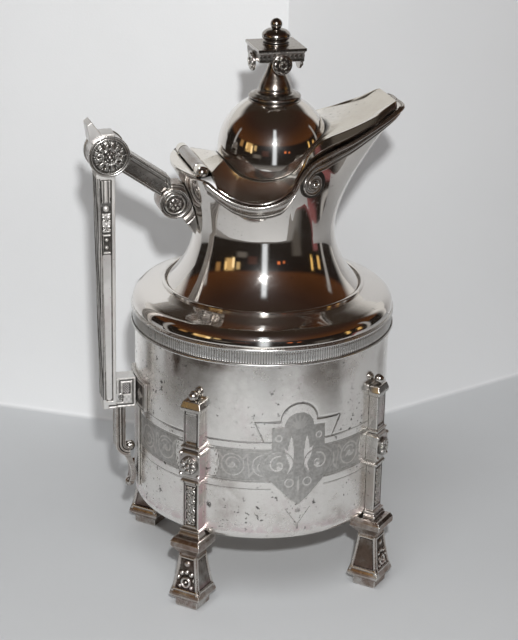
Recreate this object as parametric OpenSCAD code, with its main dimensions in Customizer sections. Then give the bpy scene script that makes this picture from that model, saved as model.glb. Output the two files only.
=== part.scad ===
// Silver-plated coffee pot with a hinged lid, a cast handle and four cast legs.
// Axes: +Z up, +X towards the spout, -X towards the handle. Z = 0 is the table.

/* [Drum] */
// Outside radius of the drum
drum_r = 63.6; // [54:0.1:76.4]
// Height of the underside of the drum above the table
drum_lift = 38.4; // [34:0.1:46]
// Height of the drum from its underside to the milled band
drum_h = 92.7; // [78:0.1:112]
// Sheet thickness of drum, shoulder and neck
sheet_t = 1.2; // [0.8:0.1:1.6]
// Radius of the turned-in bottom edge of the drum
drum_edge_r = 4; // [2:0.5:7]
// Width of the flange that carries the base disc
base_flange = 5; // [3:0.5:8]
// Height of the middle of the engraved frieze above the drum's bottom
frieze_rise = 40.7; // [24:0.1:58]
// Half the width of the frieze, between its inner lines
frieze_half = 8.5; // [6:0.1:12]
// Distance of the outer line from the inner one
frieze_margin = 4; // [2:0.1:6]

/* [Milled band] */
// How far the band stands proud of the drum
band_proud = 1.9; // [1:0.1:3]
// Height of the band with its two beads
band_h = 9.1; // [7:0.1:12]
// Number of reeds round the band
band_reeds = 160; // [60:4:240]
// Depth of the reeds
reed_depth = 0.5; // [0.2:0.1:1]

/* [Shoulder and neck] */
// Rise of the shoulder from the band to the neck
shoulder_rise = 11; // [8:0.5:16]
// Radius of the foot of the neck
neck_foot_r = 48.6; // [44:0.1:52]
// Radius of the waist of the neck
waist_r = 34.8; // [30:0.1:40]
// Height of the waist above the foot of the neck
waist_rise = 31.8; // [26:0.1:38]
// Height of the lowest point of the mouth above the waist
mouth_rise = 20; // [16:0.1:26]
// Radius of the mouth at the sides
mouth_r = 41.2; // [38:0.1:44]

/* [Spout] */
// Reach of the spout from the axis of the pot
spout_reach = 66; // [58:0.1:74]
// Half width of the spout at its tip
spout_tip_half = 13.2; // [10:0.1:16]
// Half width of the spout where it leaves the neck
spout_root_half = 23; // [20:0.1:26]
// Height of the spout tip above the lowest point of the mouth
spout_rise = 36.8; // [30:0.1:44]
// Outer radius of the volutes beside the spout
volute_r = 7; // [5:0.1:8]
// Width of the strap that ends in the volute
strap_w = 3.4; // [2.4:0.1:4]

/* [Hinge] */
// Distance of the hinge axis behind the axis of the pot
hinge_back = 36.8; // [35:0.1:40]
// Radius of the hinge barrel
barrel_r = 3; // [2.4:0.1:3.6]
// Half length of the lid's knuckle
lid_knuckle_half = 14.8; // [11:0.1:15.5]
// Outer end of the fixed knuckles, from the middle
fixed_knuckle_end = 21; // [18:0.1:22]
// Radius of the hinge pin
pin_r = 1.2; // [0.8:0.1:1.6]
// Running clearance of the pin, on the radius
pin_clear = 0.05; // [0.02:0.01:0.1]
// Gap between neighbouring knuckles
knuckle_gap = 0.3; // [0.2:0.1:0.6]
// Radius of the fixed ledge behind the hinge
ledge_r = 46.5; // [44:0.1:50]
// Height of the ledge above the lowest point of the mouth
ledge_rise = 10; // [8:0.1:13]

/* [Lid] */
// Radius of the dome
dome_r = 27.3; // [22:0.1:28]
// Distance of the dome's centre in front of the axis of the pot
dome_x = 4; // [0:0.1:5]
// Height of the dome's centre above the lowest point of the mouth
dome_rise = 16.3; // [14:0.1:18]
// Sheet thickness of the lid
lid_t = 1; // [0.8:0.1:1.2]
// Gap between the lid and the rim that it closes
lid_gap = 0.5; // [0.4:0.05:0.8]
// How far the edge of the lid lies inside the rim
lid_inset = 0.9; // [0.7:0.1:1.4]
// Half width of the square abacus
abacus_half = 11.9; // [9:0.1:13]
// Height of the abacus cornice
cornice_h = 2.2; // [1.5:0.1:3]
// Height of the sides that hang below the cornice
apron_h = 4.2; // [3:0.1:6]

/* [Handle] */
// How far the grip's outer face stands out from the side of the drum
grip_reach = 21.4; // [16.4:0.1:28.4]
// Width of the grip at the top, seen from the side
grip_w = 9.6; // [8:0.1:12]
// Width of the grip at the bottom, seen from the side
grip_foot_w = 6.4; // [5:0.1:8]
// Thickness of the handle across the pot
handle_t = 10; // [8:0.5:13]
// Depth of the channels in the handle's two sides
channel_d = 1.2; // [0.6:0.1:2]
// Radius of the round boss at the top of the grip
upper_boss_r = 10; // [8:0.1:11]
// Radius of the round boss beside the neck
lower_boss_r = 7.4; // [6:0.1:8]
// Side of the square of the Greek key
key_side = 15.6; // [14:0.1:17]
// Width of the key's raised fret
key_bar = 2.8; // [2:0.1:3.2]
// Radius of the bar of the tail scroll
tail_bar_r = 2.6; // [2:0.1:3]

/* [Legs] */
// Distance of each leg's axis from the axis of the pot, beyond the drum
leg_out = 1.9; // [1:0.1:4]
// Half width of the leg's column
leg_half = 4.4; // [3.5:0.1:5.5]
// How far the column stands proud of the drum
leg_proud = 4.6; // [3:0.1:6]
// Height of the top of the column below the band
leg_drop = 21; // [12:0.5:35]
// Half width of the cap block under the drum
cap_half = 8.2; // [7:0.1:9.5]
// Half width of the foot at its widest
foot_half = 8.7; // [7.5:0.1:10]
// Half width of the pad that the foot stands on
pad_half = 6.2; // [5:0.1:7]

/* [Hidden] */

$fn = 96;
eps = 0.01;
seat = 0.1;             // gap between parts that are soldered face to face
silver = [0.80, 0.78, 0.74];
old_silver = [0.50, 0.48, 0.45];

// heights
band_z = drum_lift + drum_h;
shoulder_z = band_z + band_h;
neck_z = shoulder_z + shoulder_rise;
waist_z = neck_z + waist_rise;
mouth_z = waist_z + mouth_rise;
tip_z = mouth_z + spout_rise;
ledge_z = mouth_z + ledge_rise;
dome_z = mouth_z + dome_rise;
band_r = drum_r + band_proud;
hinge_z = ledge_z + barrel_r - 0.6;

// the handle reaches further than the spout, so the whole pot is moved until the middle of
// its box stands at the origin
grip_out = drum_r + grip_reach;
beak_out = grip_out + 3.6;
ridge_proud = 1.7;      // how far the ridge of the rim stands out beyond the wall
origin_shift = (beak_out - spout_reach - ridge_proud) / 2;

// ---------- functions ----------
function mix(a, b, t) = a + (b - a) * t;
function polar(r, a) = [r * cos(a), r * sin(a)];
function flat(p) = [p[0], p[1]];
function unit(v) = v / norm(v);
function mirrored(p) = [p[0], -p[1], p[2]];
function backwards(p) = [for (i = [len(p) - 1:-1:0]) p[i]];
function arc(cx, cz, r, a0, a1, n) =
    [for (i = [0:n]) let (a = mix(a0, a1, i / n)) [cx + r * cos(a), cz + r * sin(a)]];
// smooth curve through b and c, with a before them and d after them
function blend4(a, b, c, d, t) =
    0.5 * (2 * b + (c - a) * t + (2 * a - 5 * b + 4 * c - d) * t * t + (3 * b - 3 * c + d - a) * t * t * t);
// smooth curve through the points p, where u counts the points
function spline(p, u) =
    let (n = len(p) - 1, i = min(n - 1, floor(u)))
    blend4(p[max(0, i - 1)], p[i], p[i + 1], p[min(n, i + 2)], u - i);
function straight(p, u) = let (i = min(len(p) - 2, floor(u))) mix(p[i], p[i + 1], u - i);

// ---------- the rim of neck and spout ----------
// One side of the rim, from the middle of the spout's tip to the middle of the back.
root_x = 26;
root_z = mix(mouth_z, tip_z, 0.505);
rim_half = [
    [spout_reach, 0, tip_z],
    [spout_reach, 0.64 * spout_tip_half, tip_z - 0.1],
    [spout_reach - 2.8, spout_tip_half, tip_z - 1.2],
    [mix(root_x, spout_reach, 0.68), mix(spout_root_half, spout_tip_half, 0.57), mix(root_z, tip_z, 0.66)],
    [mix(root_x, spout_reach, 0.3), mix(spout_root_half, spout_tip_half, 0.22), mix(root_z, tip_z, 0.25)],
    [root_x, spout_root_half, root_z],
    [17.5, spout_root_half + 4, root_z - 2.4],
    [10.5, mix(spout_root_half, mouth_r, 0.55), root_z - 4.6],
    [6, mix(spout_root_half, mouth_r, 0.77), root_z - 8.1],
    [2, mouth_r - 1.4, mix(mouth_z, root_z, 0.3)],
    [-4, mouth_r, mouth_z + 2.3],
    concat(polar(mix(mouth_r, ledge_r, 0.2), 105), mouth_z + 0.3),
    concat(polar(mix(mouth_r, ledge_r, 0.26), 115.7), mouth_z),
    concat(polar(mix(mouth_r, ledge_r, 0.36), 127), mix(mouth_z, ledge_z, 0.2)),
    concat(polar(mix(mouth_r, ledge_r, 0.7), 136.4), mix(mouth_z, ledge_z, 0.63)),
    concat(polar(ledge_r, 143.7), ledge_z),
    concat(polar(ledge_r, 158), ledge_z),
    concat(polar(ledge_r, 180), ledge_z)
];
rim_last = len(rim_half) - 1;
rim_corner = 15;        // station where the rim meets the ledge
// the half rim has a mirrored point at each end, so that the curve stays smooth there
rim_padded = concat([mirrored(rim_half[1])], rim_half, [mirrored(rim_half[rim_last - 1])]);
function rim_side(u) =
    let (i = min(rim_last - 1, floor(u)))
    blend4(rim_padded[i], rim_padded[i + 1], rim_padded[i + 2], rim_padded[i + 3], u - i);
function rim(u) = u < 0 ? mirrored(rim_side(-u)) : rim_side(u);

// A wall line of the neck runs in a plane through the axis: it starts upright at the waist
// and flares to the rim, most of all under the spout.
function wall_base(u) = let (p = rim(u)) concat(waist_r * unit(flat(p)), waist_z);
function spoutness(u) = 1 - min(1, abs(u) / 9);
function wall_bend(u) =
    let (p = rim(u), r = norm(flat(p)), k = mix(0.53, 0.28, spoutness(u)), c = mix(0.22, 0.05, spoutness(u)))
    concat(mix(waist_r, r, c) * unit(flat(p)), mix(waist_z, p[2], k));
function wall(u, t) =
    let (a = wall_base(u), b = wall_bend(u), c = rim(u))
    a * (1 - t) * (1 - t) + b * 2 * t * (1 - t) + c * t * t;
// outward normal of the wall and the point at a distance down from the rim
function outward(n, p) = n[0] * p[0] + n[1] * p[1] < 0 ? -n : n;
function wall_out(u, t) =
    let (du = wall(min(rim_last, u + 0.05), t) - wall(max(-rim_last, u - 0.05), t),
         dt = wall(u, t) - wall(u, t - 0.02))
    outward(unit(cross(du, dt)), wall(u, t));
function down_to_t(u, d) = 1 - d / (2 * norm(rim(u) - wall_bend(u)));
function on_wall(u, d, h) = let (t = down_to_t(u, d)) wall(u, t) + wall_out(u, t) * h;

// ---------- general shapes ----------
// Closed tube of rings: each ring is a list of n points, and the last ring meets the first.
module ring_loop(rings) {
    m = len(rings);
    n = len(rings[0]);
    points = [for (r = rings) for (p = r) p];
    faces = [for (i = [0:m - 1]) for (j = [0:n - 1])
        let (a = i * n, b = ((i + 1) % m) * n, k = (j + 1) % n)
        each [[a + j, b + k, b + j], [a + j, a + k, b + k]]];
    polyhedron(points, faces, convexity = 8);
}

// Bar of rings with its two ends closed.
module ring_bar(rings) {
    m = len(rings);
    n = len(rings[0]);
    points = [for (r = rings) for (p = r) p];
    sides = [for (i = [0:m - 2]) for (j = [0:n - 1])
        let (a = i * n, b = (i + 1) * n, k = (j + 1) % n)
        each [[a + j, b + k, b + j], [a + j, a + k, b + k]]];
    ends = [for (j = [1:n - 2]) each [[0, j + 1, j], [(m - 1) * n, (m - 1) * n + j, (m - 1) * n + j + 1]]];
    polyhedron(points, concat(sides, ends), convexity = 8);
}

// Profile in radius and height, turned round an upright axis at x.
module turned(profile, x = 0) translate([x, 0, 0]) rotate_extrude() polygon(profile);
fine = 360;             // sides of the circles of thin rings

// Outline in x and z, given a thickness across the pot.
module slab(t) rotate([90, 0, 0]) linear_extrude(t, center = true) children();

// ---------- drum ----------
// Two cut lines run round the drum on each side of its frieze, at these heights above its middle.
frieze_z = drum_lift + frieze_rise;
frieze_outer = frieze_half + frieze_margin;
frieze_lines = [-frieze_outer, -frieze_half, frieze_half, frieze_outer];
line_d = 0.15;          // depth of a cut line, and half its width
module drum() {
    e = drum_edge_r;
    inner_e = e - sheet_t;
    lip = drum_r - e - base_flange;
    color(silver) turned(concat(
        [[lip, drum_lift]],
        arc(drum_r - e, drum_lift + e, e, -90, 0, 10),
        [for (h = frieze_lines) let (z = frieze_z + h)
            each [[drum_r, z - line_d], [drum_r - line_d, z], [drum_r, z + line_d]]],
        [[drum_r, shoulder_z], [drum_r - sheet_t, shoulder_z]],
        arc(drum_r - e, drum_lift + e, inner_e, 0, -90, 10),
        [[lip, drum_lift + sheet_t]]));
}

module base_disc() {
    color(silver) translate([0, 0, drum_lift + sheet_t])
        cylinder(h = sheet_t, r = drum_r - drum_edge_r - seat);
}

bead_h = 1.5;
module band_bead(z) {
    edge = band_r - 0.5;
    rotate_extrude($fn = fine) polygon([[0, z], [edge, z], [band_r, z + 0.4],
        [band_r, z + bead_h - 0.4], [edge, z + bead_h], [0, z + bead_h]]);
}

module milled_band() {
    reed_r = band_r - 0.6;
    color(silver) difference() {
        union() {
            band_bead(band_z);
            band_bead(shoulder_z - bead_h);
            translate([0, 0, band_z + bead_h]) linear_extrude(band_h - 2 * bead_h)
                polygon([for (i = [0:2 * band_reeds - 1])
                    polar(reed_r - (i % 2) * reed_depth, 180 * i / band_reeds)]);
        }
        translate([0, 0, band_z - 1]) cylinder(h = band_h + 2, r = drum_r + seat / 2, $fn = fine);
    }
}

// ---------- shoulder and neck ----------
roll_r = 7;             // radius of the rolled outer edge of the shoulder
shoulder_out = band_r - 0.7;
seat_ring_r = neck_foot_r + 1.7;
module shoulder() {
    roll_z = shoulder_z + 1.3;
    cx = shoulder_out - roll_r;
    color(silver) turned(concat(
        [[shoulder_out, shoulder_z]],
        arc(cx, roll_z, roll_r, 0, 70, 10),
        [[mix(cx, seat_ring_r, 0.45), neck_z - 1.3], [seat_ring_r, neck_z - 0.3], [seat_ring_r - 0.5, neck_z],
         [neck_foot_r - 2.6, neck_z], [neck_foot_r - 2.6, neck_z - sheet_t],
         [mix(cx, seat_ring_r, 0.45) - 0.3, neck_z - 1.3 - sheet_t]],
        arc(cx, roll_z, roll_r - sheet_t, 70, 0, 10),
        [[shoulder_out - sheet_t, shoulder_z]]));
}

collar_r = 0.9;
module neck_collar() {
    x = seat_ring_r - collar_r - 0.1;
    color(silver) turned(concat([[x + collar_r, neck_z + seat / 10]],
        arc(x, neck_z + collar_r, collar_r, 0, 150, 8), [[x - 0.2, neck_z + seat / 10]]));
}

foot_power = 2.3;       // how quickly the foot of the neck flares out
foot_steps = 7;
wall_steps = 9;
rim_steps = 2;          // rings between two control points of the rim
function foot_r(t) = waist_r + (neck_foot_r - waist_r) * pow(1 - t, foot_power);
function foot_slope(t) = foot_power * (neck_foot_r - waist_r) / waist_rise * pow(1 - t, foot_power - 1);
function foot_point(u, t, off) =
    concat(unit(flat(rim(u))) * (foot_r(t) - off * sqrt(1 + pow(foot_slope(t), 2))), neck_z + waist_rise * t);
// a point inside the wall, level with its point on the outside
function inner_wall(u, t) =
    let (n = wall_out(u, t), h = norm(flat(n)))
    wall(u, t) - concat(flat(n) / h * sheet_t / h, 0);

module neck() {
    color(silver) ring_loop([for (k = [-rim_last * rim_steps + 1:rim_last * rim_steps])
        let (u = k / rim_steps)
        concat([for (i = [0:foot_steps - 1]) foot_point(u, i / foot_steps, 0)],
               [for (i = [0:wall_steps]) wall(u, i / wall_steps)],
               [for (i = [wall_steps:-1:0]) inner_wall(u, i / wall_steps)],
               [for (i = [foot_steps - 1:-1:0]) foot_point(u, i / foot_steps, sheet_t)])]);
}

// ---------- moulding and scroll work round the mouth ----------
// Profile of the moulding: distance down from the rim, and height above the wall.
ridge = [[-0.9, seat], [-0.9, 1], [-0.2, ridge_proud], [0.7, ridge_proud], [1.3, 1]];
band = [[2, 1.3], [5, 1.3], [5.6, 0.9], [6.2, 1.5], [7.4, 1.5], [8, seat]];
band_start = 10;        // stations between which the band fades into the spout's plain ridge
band_end = 8.5;
function fade(u) = max(0, min(1, (u - band_end) / (band_start - band_end)));
module rim_moulding() {
    color(old_silver) ring_bar([for (k = [rim_corner * rim_steps:-1:0])
        let (u = k / rim_steps, f = fade(u))
        concat([for (p = ridge) on_wall(u, p[0], p[1])],
               [for (p = band) let (d = mix(1.3 + (p[0] - 1.3) / 9, p[0], f))
                   on_wall(u, d, mix((p[1] + seat) / 2, p[1], f))])]);
}
module rim_moulding_back() rim_moulding();
module rim_moulding_front() mirror([0, 1, 0]) rim_moulding();

// Foot of a point on the wall, seen along the pot's radius.
function find_u(a, lo, hi, n) =
    let (m = (lo + hi) / 2, p = rim(m))
    n == 0 ? m : atan2(p[1], p[0]) < a ? find_u(a, m, hi, n - 1) : find_u(a, lo, m, n - 1);
function find_t(u, z, lo, hi, n) =
    let (m = (lo + hi) / 2)
    n == 0 ? m : wall(u, m)[2] < z ? find_t(u, z, m, hi, n - 1) : find_t(u, z, lo, m, n - 1);
function on_wall_at(q) =
    let (u = find_u(atan2(q[1], q[0]), -rim_last, rim_last, 14), t = find_t(u, q[2], 0, 1.3, 14))
    [wall(u, t), wall_out(u, t)];

volute_u = 6.4;
volute_turn = 560;
volute_step = 20;
volute_down = volute_r + 2.2;
volute_mid = on_wall(volute_u, volute_down, 0);
volute_n = wall_out(volute_u, down_to_t(volute_u, volute_down));
volute_back = unit(cross([0, 0, 1], volute_n));
volute_up = cross(volute_n, volute_back);
volute_first = 65;      // angle at which the strap runs into the volute
function volute_radius(f) = mix(volute_r - strap_w / 2, 1.3, pow(f, 0.85));
function volute_point(a) =
    let (f = (volute_first - a) / volute_turn, r = volute_radius(f))
    on_wall_at(volute_mid + volute_back * r * cos(a) + volute_up * r * sin(a));
strap_path = concat(
    [for (u = [1.4:0.5:5.4]) let (d = mix(3.8, 4.2, u / 6)) [on_wall(u, d, 0), wall_out(u, down_to_t(u, d))]],
    [for (a = [volute_first:-volute_step:volute_first - volute_turn]) volute_point(a)]);
function strap_width(i) =
    let (f = i / (len(strap_path) - 1))
    strap_w * (f < 0.25 ? mix(0.6, 1, f * 4) : mix(1, 0.5, (f - 0.25) / 0.75));
module spout_scroll() {
    last = len(strap_path) - 1;
    color(old_silver) ring_bar([for (i = [0:last])
        let (p = strap_path[i][0], n = strap_path[i][1],
             along = unit(strap_path[min(last, i + 1)][0] - strap_path[max(0, i - 1)][0]),
             s = unit(cross(n, along)) * strap_width(i) / 2)
        [p - s + n * 2 * seat, p - s + n * 0.9, p - s * 0.5 + n * 1.6,
         p + s * 0.5 + n * 1.6, p + s + n * 0.9, p + s + n * 2 * seat]]);
}
module spout_scroll_back() spout_scroll();
module spout_scroll_front() mirror([0, 1, 0]) spout_scroll();

// Leafy strip down the front of the spout: its width swells three times.
leaf_steps = 24;
leaf_sides = [-1, -0.6, 0, 0.6, 1];
leaf_high = [0, 0.7, 1, 0.7, 0];
function leaf_half(f) = 0.6 + 3.4 * sin(180 * pow(f, 0.8)) * (0.65 + 0.35 * abs(cos(540 * f)));
module spout_ornament() {
    color(old_silver) ring_bar([for (i = [0:leaf_steps])
        let (f = i / leaf_steps, mid = wall(0, mix(0.86, 0.3, f)), w = leaf_half(f))
        [for (j = [0:4])
            let (q = on_wall_at(mid + [0, leaf_sides[j] * w, 0]))
            q[0] + q[1] * (2 * seat + 2 * leaf_high[j] * min(1, w / 2.5))]]);
}

// ---------- hinge ----------
module along_hinge(half) translate([-hinge_back, half, hinge_z]) rotate([90, 0, 0]) children();

ledge_edge = hinge_back + barrel_r + 0.4;
knuckle_start = lid_knuckle_half + knuckle_gap;
module hinge_ledge() {
    plate_z = ledge_z + 3 * seat;
    color(silver) difference() {
        union() {
            translate([0, 0, plate_z]) difference() {
                cylinder(h = sheet_t, r = ledge_r);
                translate([-ledge_edge, -2 * ledge_r, -1]) cube([3 * ledge_r, 4 * ledge_r, 4]);
            }
            for (side = [-1, 1]) {
                mid = side * (knuckle_start + fixed_knuckle_end) / 2;
                w = fixed_knuckle_end - knuckle_start;
                translate([0, mid, 0]) {
                    along_hinge(w / 2) cylinder(h = w, r = barrel_r);
                    translate([-ledge_edge - 1, -w / 2, plate_z]) cube([barrel_r + 1, w, sheet_t]);
                }
            }
        }
        along_hinge(ledge_r) cylinder(h = 2 * ledge_r, r = pin_r + 0.02);
        translate([-2 * ledge_r, -ledge_r, ledge_z - ledge_r])
            cube([2 * ledge_r, 2 * ledge_r, ledge_r + seat / 2]);
    }
}

pin_head_r = 2.4;
pin_head_h = 1.8;
// the rounded head that begins at height z, towards side 1 or -1
function pin_head(z, side) =
    [for (a = [0:11.25:90]) [pin_head_r * cos(a), side * (z + pin_head_h * sin(a))]];
module hinge_pin() {
    end = fixed_knuckle_end + seat / 2;
    color(old_silver) along_hinge(0) rotate_extrude($fn = 48)
        polygon(concat(backwards(pin_head(end, -1)), [[pin_r, -end], [pin_r, end]], pin_head(end, 1)));
}

leaf_edge = hinge_back - 4.2;   // back edge of the lid's plate
plate_top = ledge_z + 2.5;
module lid_knuckle() {
    h = lid_knuckle_half;
    color(silver) difference() {
        union() {
            along_hinge(h) cylinder(h = 2 * h, r = barrel_r);
            translate([-hinge_back, 0.8 - h, plate_top - lid_t])
                cube([hinge_back - leaf_edge - seat / 2, 2 * h - 1.6, lid_t]);
        }
        along_hinge(ledge_r) cylinder(h = 2 * ledge_r, r = pin_r + pin_clear);
    }
}

// ---------- lid ----------
cover_bend_x = 48.5;
lid_end = spout_reach - 3.6;
cover_tip_z = tip_z + 3;
cover_bend_z = tip_z - 4.3;
cover_root_z = tip_z - 11.8;
cover_root_x = 20.6;
function cover_z(x) = x < cover_bend_x
    ? mix(cover_root_z, cover_bend_z, (x - cover_root_x) / (cover_bend_x - cover_root_x))
    : mix(cover_bend_z, cover_tip_z, (x - cover_bend_x) / (lid_end - cover_bend_x));
// a point of the lid's edge, a little inside the rim and above it
function lid_over_rim(u) =
    let (d = flat(rim(u + 0.05)) - flat(rim(u - 0.05)), p = rim(u))
    [p[0] - d[1] / norm(d) * lid_inset, p[1] + d[0] / norm(d) * lid_inset, p[2] + lid_gap];
// One side of the lid runs from the middle of the spout's tip to the middle of the hinge.
lid_tip = [[lid_end, 0, tip_z + 0.5], [lid_end, 0.64 * spout_tip_half, tip_z + 0.5],
           [lid_end - 0.2, spout_tip_half - 0.8, tip_z - 1], lid_over_rim(3)];
lid_back = [lid_over_rim(14), [-leaf_edge, fixed_knuckle_end + 1, plate_top - lid_t],
            [-leaf_edge, 0, plate_top - lid_t]];
function lid_edge(v) =
    v < 3 ? straight(lid_tip, v) : v < 14 ? lid_over_rim(v) : straight(lid_back, v - 14);
// Each row: height of the knee above the edge, share of the way in where the knee lies,
// bearing of the inner end on the dome, height of the inner end.
lid_half = [
    [cover_tip_z, 0.01, 0, mouth_z + 28],
    [cover_tip_z, 0.01, 8, mouth_z + 27.9],
    [cover_tip_z, 0.01, 16, mouth_z + 27.7],
    [cover_z(rim_half[3][0]), 0.01, 26, mouth_z + 27.2],
    [cover_z(rim_half[4][0]), 0.01, 38, mouth_z + 26.5],
    [cover_z(rim_half[5][0]), 0.02, 50, mouth_z + 25.6],
    [root_z + 4, 0.15, 62, mouth_z + 23],
    [root_z - 1, 0.2, 74, mouth_z + 18],
    [root_z - 5.8, 0.12, 83, mouth_z + 12.7],
    [rim_half[9][2] + 2, 0.04, 94, mouth_z + 9.4],
    [rim_half[10][2] + 1.6, 0.03, 104, mouth_z + 7.9],
    [rim_half[11][2] + 1.6, 0.03, 118, mouth_z + 7],
    [rim_half[12][2] + 1.6, 0.03, 131, mouth_z + 7.3],
    [rim_half[13][2] + 1.6, 0.03, 143, mouth_z + 8.4],
    [rim_half[14][2] + 1.6, 0.04, 153, mouth_z + 10.9],
    [plate_top, 0.02, 165, mouth_z + 13.9],
    [plate_top, 0.02, 180, mouth_z + 14.8]
];
lid_last = len(lid_half) - 1;
lid_steps = 2;
lid_across = 4;         // strips between the knee and the dome
lid_seat = 0.2;         // gap between the lid's plate and the dome soldered into it
function column(k) = [for (r = lid_half) r[k]];
function lid_value(k, v) = v < 2 || v > 13 ? straight(column(k), v) : spline(column(k), v);
function dome_ring(v, drop) =
    let (z = lid_value(3, v) - drop, r = sqrt(pow(dome_r + lid_seat, 2) - pow(z - dome_z, 2)))
    concat([dome_x, 0] + polar(r, lid_value(2, v)), z);
// the flat cover over the spout bends, and fades out towards the sides of the dome
function coverness(v) = max(0, min(1, (6.5 - v) / 2));
function lid_top(v, f) =
    let (edge = lid_edge(v), inner = dome_ring(v, 0),
         knee = concat(mix(flat(edge), flat(inner), lid_value(1, v)), lid_value(0, v)),
         p = mix(knee, inner, f), c = coverness(v) * 4 * f * (1 - f))
    [p[0], p[1], mix(p[2], cover_z(p[0]), min(1, c * 1.4))];
function lid_section(v) =
    let (edge = lid_edge(v), inward = unit(flat(dome_ring(v, 0)) - flat(edge)) * lid_t)
    concat([edge], [for (i = [0:lid_across]) lid_top(v, i / lid_across)],
           [dome_ring(v, lid_t)],
           [for (i = [lid_across - 1:-1:1]) lid_top(v, i / lid_across) - [0, 0, lid_t]],
           [lid_top(v, 0.02) + concat(inward, -lid_t)], [edge + concat(inward, 0)]);
module lid_saddle() {
    color(silver) ring_loop([for (k = [-lid_last * lid_steps + 1:lid_last * lid_steps])
        let (v = k / lid_steps, s = lid_section(abs(v)))
        v < 0 ? [for (p = s) mirrored(p)] : s]);
}

dome_low = -28;         // angle of the dome's open lower edge
stud_r = 1.5;
stud_hole_r = 1.65;
module lid_dome() {
    top = asin(stud_hole_r / dome_r);
    color(silver) turned(concat(
        arc(0, dome_z, dome_r, dome_low, 90 - top, 28),
        arc(0, dome_z, dome_r - lid_t, 90 - top, dome_low, 28)), dome_x);
}

collar_z = dome_z + 23.7;
collar_h = 4.3;
module dome_collar() {
    z = collar_z;
    color(old_silver) difference() {
        turned([[stud_hole_r, z - 1.5], [12.4, z - 1.5], [12.9, z - 0.6], [12.9, z + 0.5],
                [12.2, z + 1.1], [11.8, z + 1.4], [12.5, z + 1.8], [12.8, z + 2.4],
                [12.4, z + 3.1], [11, z + 3.6], [10.2, z + 4.1], [9.4, z + collar_h],
                [stud_hole_r, z + collar_h]], dome_x);
        translate([dome_x, 0, dome_z]) sphere(r = dome_r + seat / 2, $fn = 96);
    }
}

stem_z = collar_z + collar_h;
abacus_z = dome_z + 51.3;       // top of the abacus
plate_z = abacus_z - cornice_h; // underside of its cornice
module finial_stem() {
    z = stem_z;
    color(old_silver) turned([[stud_hole_r, z], [8.3, z], [8.4, z + 0.7], [8, z + 1.3],
        [7.9, z + 2.6], [7.2, z + 4.6], [6, z + 7], [4.8, z + 9.4], [3.9, z + 11.8], [3.3, z + 14],
        [3.2, plate_z - 1.2], [4.2, plate_z], [stud_hole_r, plate_z]], dome_x);
}

apron_half = abacus_half - 0.9;
apron_t = 1.5;
module square_block(half, low, high)
    translate([-half, -half, low]) cube([2 * half, 2 * half, high - low]);
module abacus() {
    step = cornice_h / 3;
    apron_z = plate_z - apron_h;
    color(old_silver) translate([dome_x, 0, 0]) difference() {
        union() {
            square_block(abacus_half, plate_z + step, abacus_z);
            square_block(abacus_half - 0.45, plate_z, plate_z + step + eps);
            square_block(apron_half, apron_z, plate_z + eps);
        }
        square_block(apron_half - apron_t, apron_z - 1, plate_z);
        translate([0, 0, plate_z - 1]) cylinder(h = cornice_h + 2, r = stud_hole_r);
    }
}

// Small cast flower, standing on the plane z = 0.
module rosette(r, h) {
    petals = 8;
    cylinder(h = h * 0.45, r = r);
    translate([0, 0, h * 0.4]) for (i = [0:petals - 1])
        rotate(360 / petals * i) translate([r * 0.6, 0, 0]) cylinder(h = h * 0.35, r = r * 0.24, $fn = 24);
    cylinder(h = h, r = r * 0.28, $fn = 32);
}

module abacus_rosettes() {
    color(old_silver) translate([dome_x, 0, plate_z - apron_h - 1.2])
        for (i = [0:3])
            rotate(90 * i) translate([apron_half + seat / 2, 0, 0]) rotate([0, 90, 0]) rosette(4.8, 2.6);
}

module finial_bun() {
    z = abacus_z;
    color(old_silver) turned(concat(
        [[stud_hole_r, z + seat / 10], [6.4, z + seat / 10], [6.4, z + 0.7], [5.6, z + 1.1]],
        [for (i = [0:10]) let (a = -48 + 12.2 * i) [1.6 + 5.3 * cos(a), z + 4.2 + 3.3 * sin(a)]],
        [[stud_hole_r, z + 7.5]]), dome_x);
}

ball_r = 2.85;
ball_z = abacus_z + 9.6;
module finial_ball() {
    z = abacus_z + 7.5 + seat / 2;
    color(old_silver) difference() {
        union() {
            translate([dome_x, 0, ball_z]) sphere(r = ball_r, $fn = 48);
            translate([dome_x, 0, z]) cylinder(h = 1.5, r = 2.1);
        }
        translate([dome_x, 0, z - 1]) cylinder(h = 3, r = stud_hole_r);
        translate([dome_x, 0, z - 10]) cylinder(h = 10, r = 2 * ball_r);
    }
}

nut_h = 3.2;
nut_r = 3.2;
nut_top = dome_z + sqrt(pow(dome_r - lid_t, 2) - nut_r * nut_r) - seat / 2;
module finial_stud() {
    low = nut_top - nut_h - 1;
    color(old_silver) translate([dome_x, 0, low]) cylinder(h = abacus_z + 9.4 - low, r = stud_r);
}

module finial_nut() {
    color(old_silver) translate([dome_x, 0, nut_top - nut_h]) difference() {
        cylinder(h = nut_h, r = nut_r, $fn = 6);
        translate([0, 0, -1]) cylinder(h = nut_h + 2, r = stud_r + 0.02);
    }
}

// ---------- handle ----------
// Its outlines lie in the plane of x and z, written with x counted towards the spout.
boss_x = -grip_out + 6.5;
boss_z = ledge_z + 8.7;
lower_boss_x = -(hinge_back + 9.8);
lower_boss_z = ledge_z - 17;
arm_rise = 1.8;         // how far above the middle of the upper boss the arm's line passes
arm_fall = 5.16;        // and how far above the middle of the lower boss
arm_tilt = -atan((boss_z + arm_rise - lower_boss_z - arm_fall) / (lower_boss_x - boss_x));
arm_w = 10;
arm_reach = lower_boss_x - boss_x;
grip_low = drum_lift + 52.6;    // underside of the grip's lower corner
key_right = -(drum_r + 2);
key_left = key_right - 9.4;
grip_top = boss_z + 10.5;

module in_xz(x, z, a) translate([x, z]) rotate(a) children();
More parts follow.
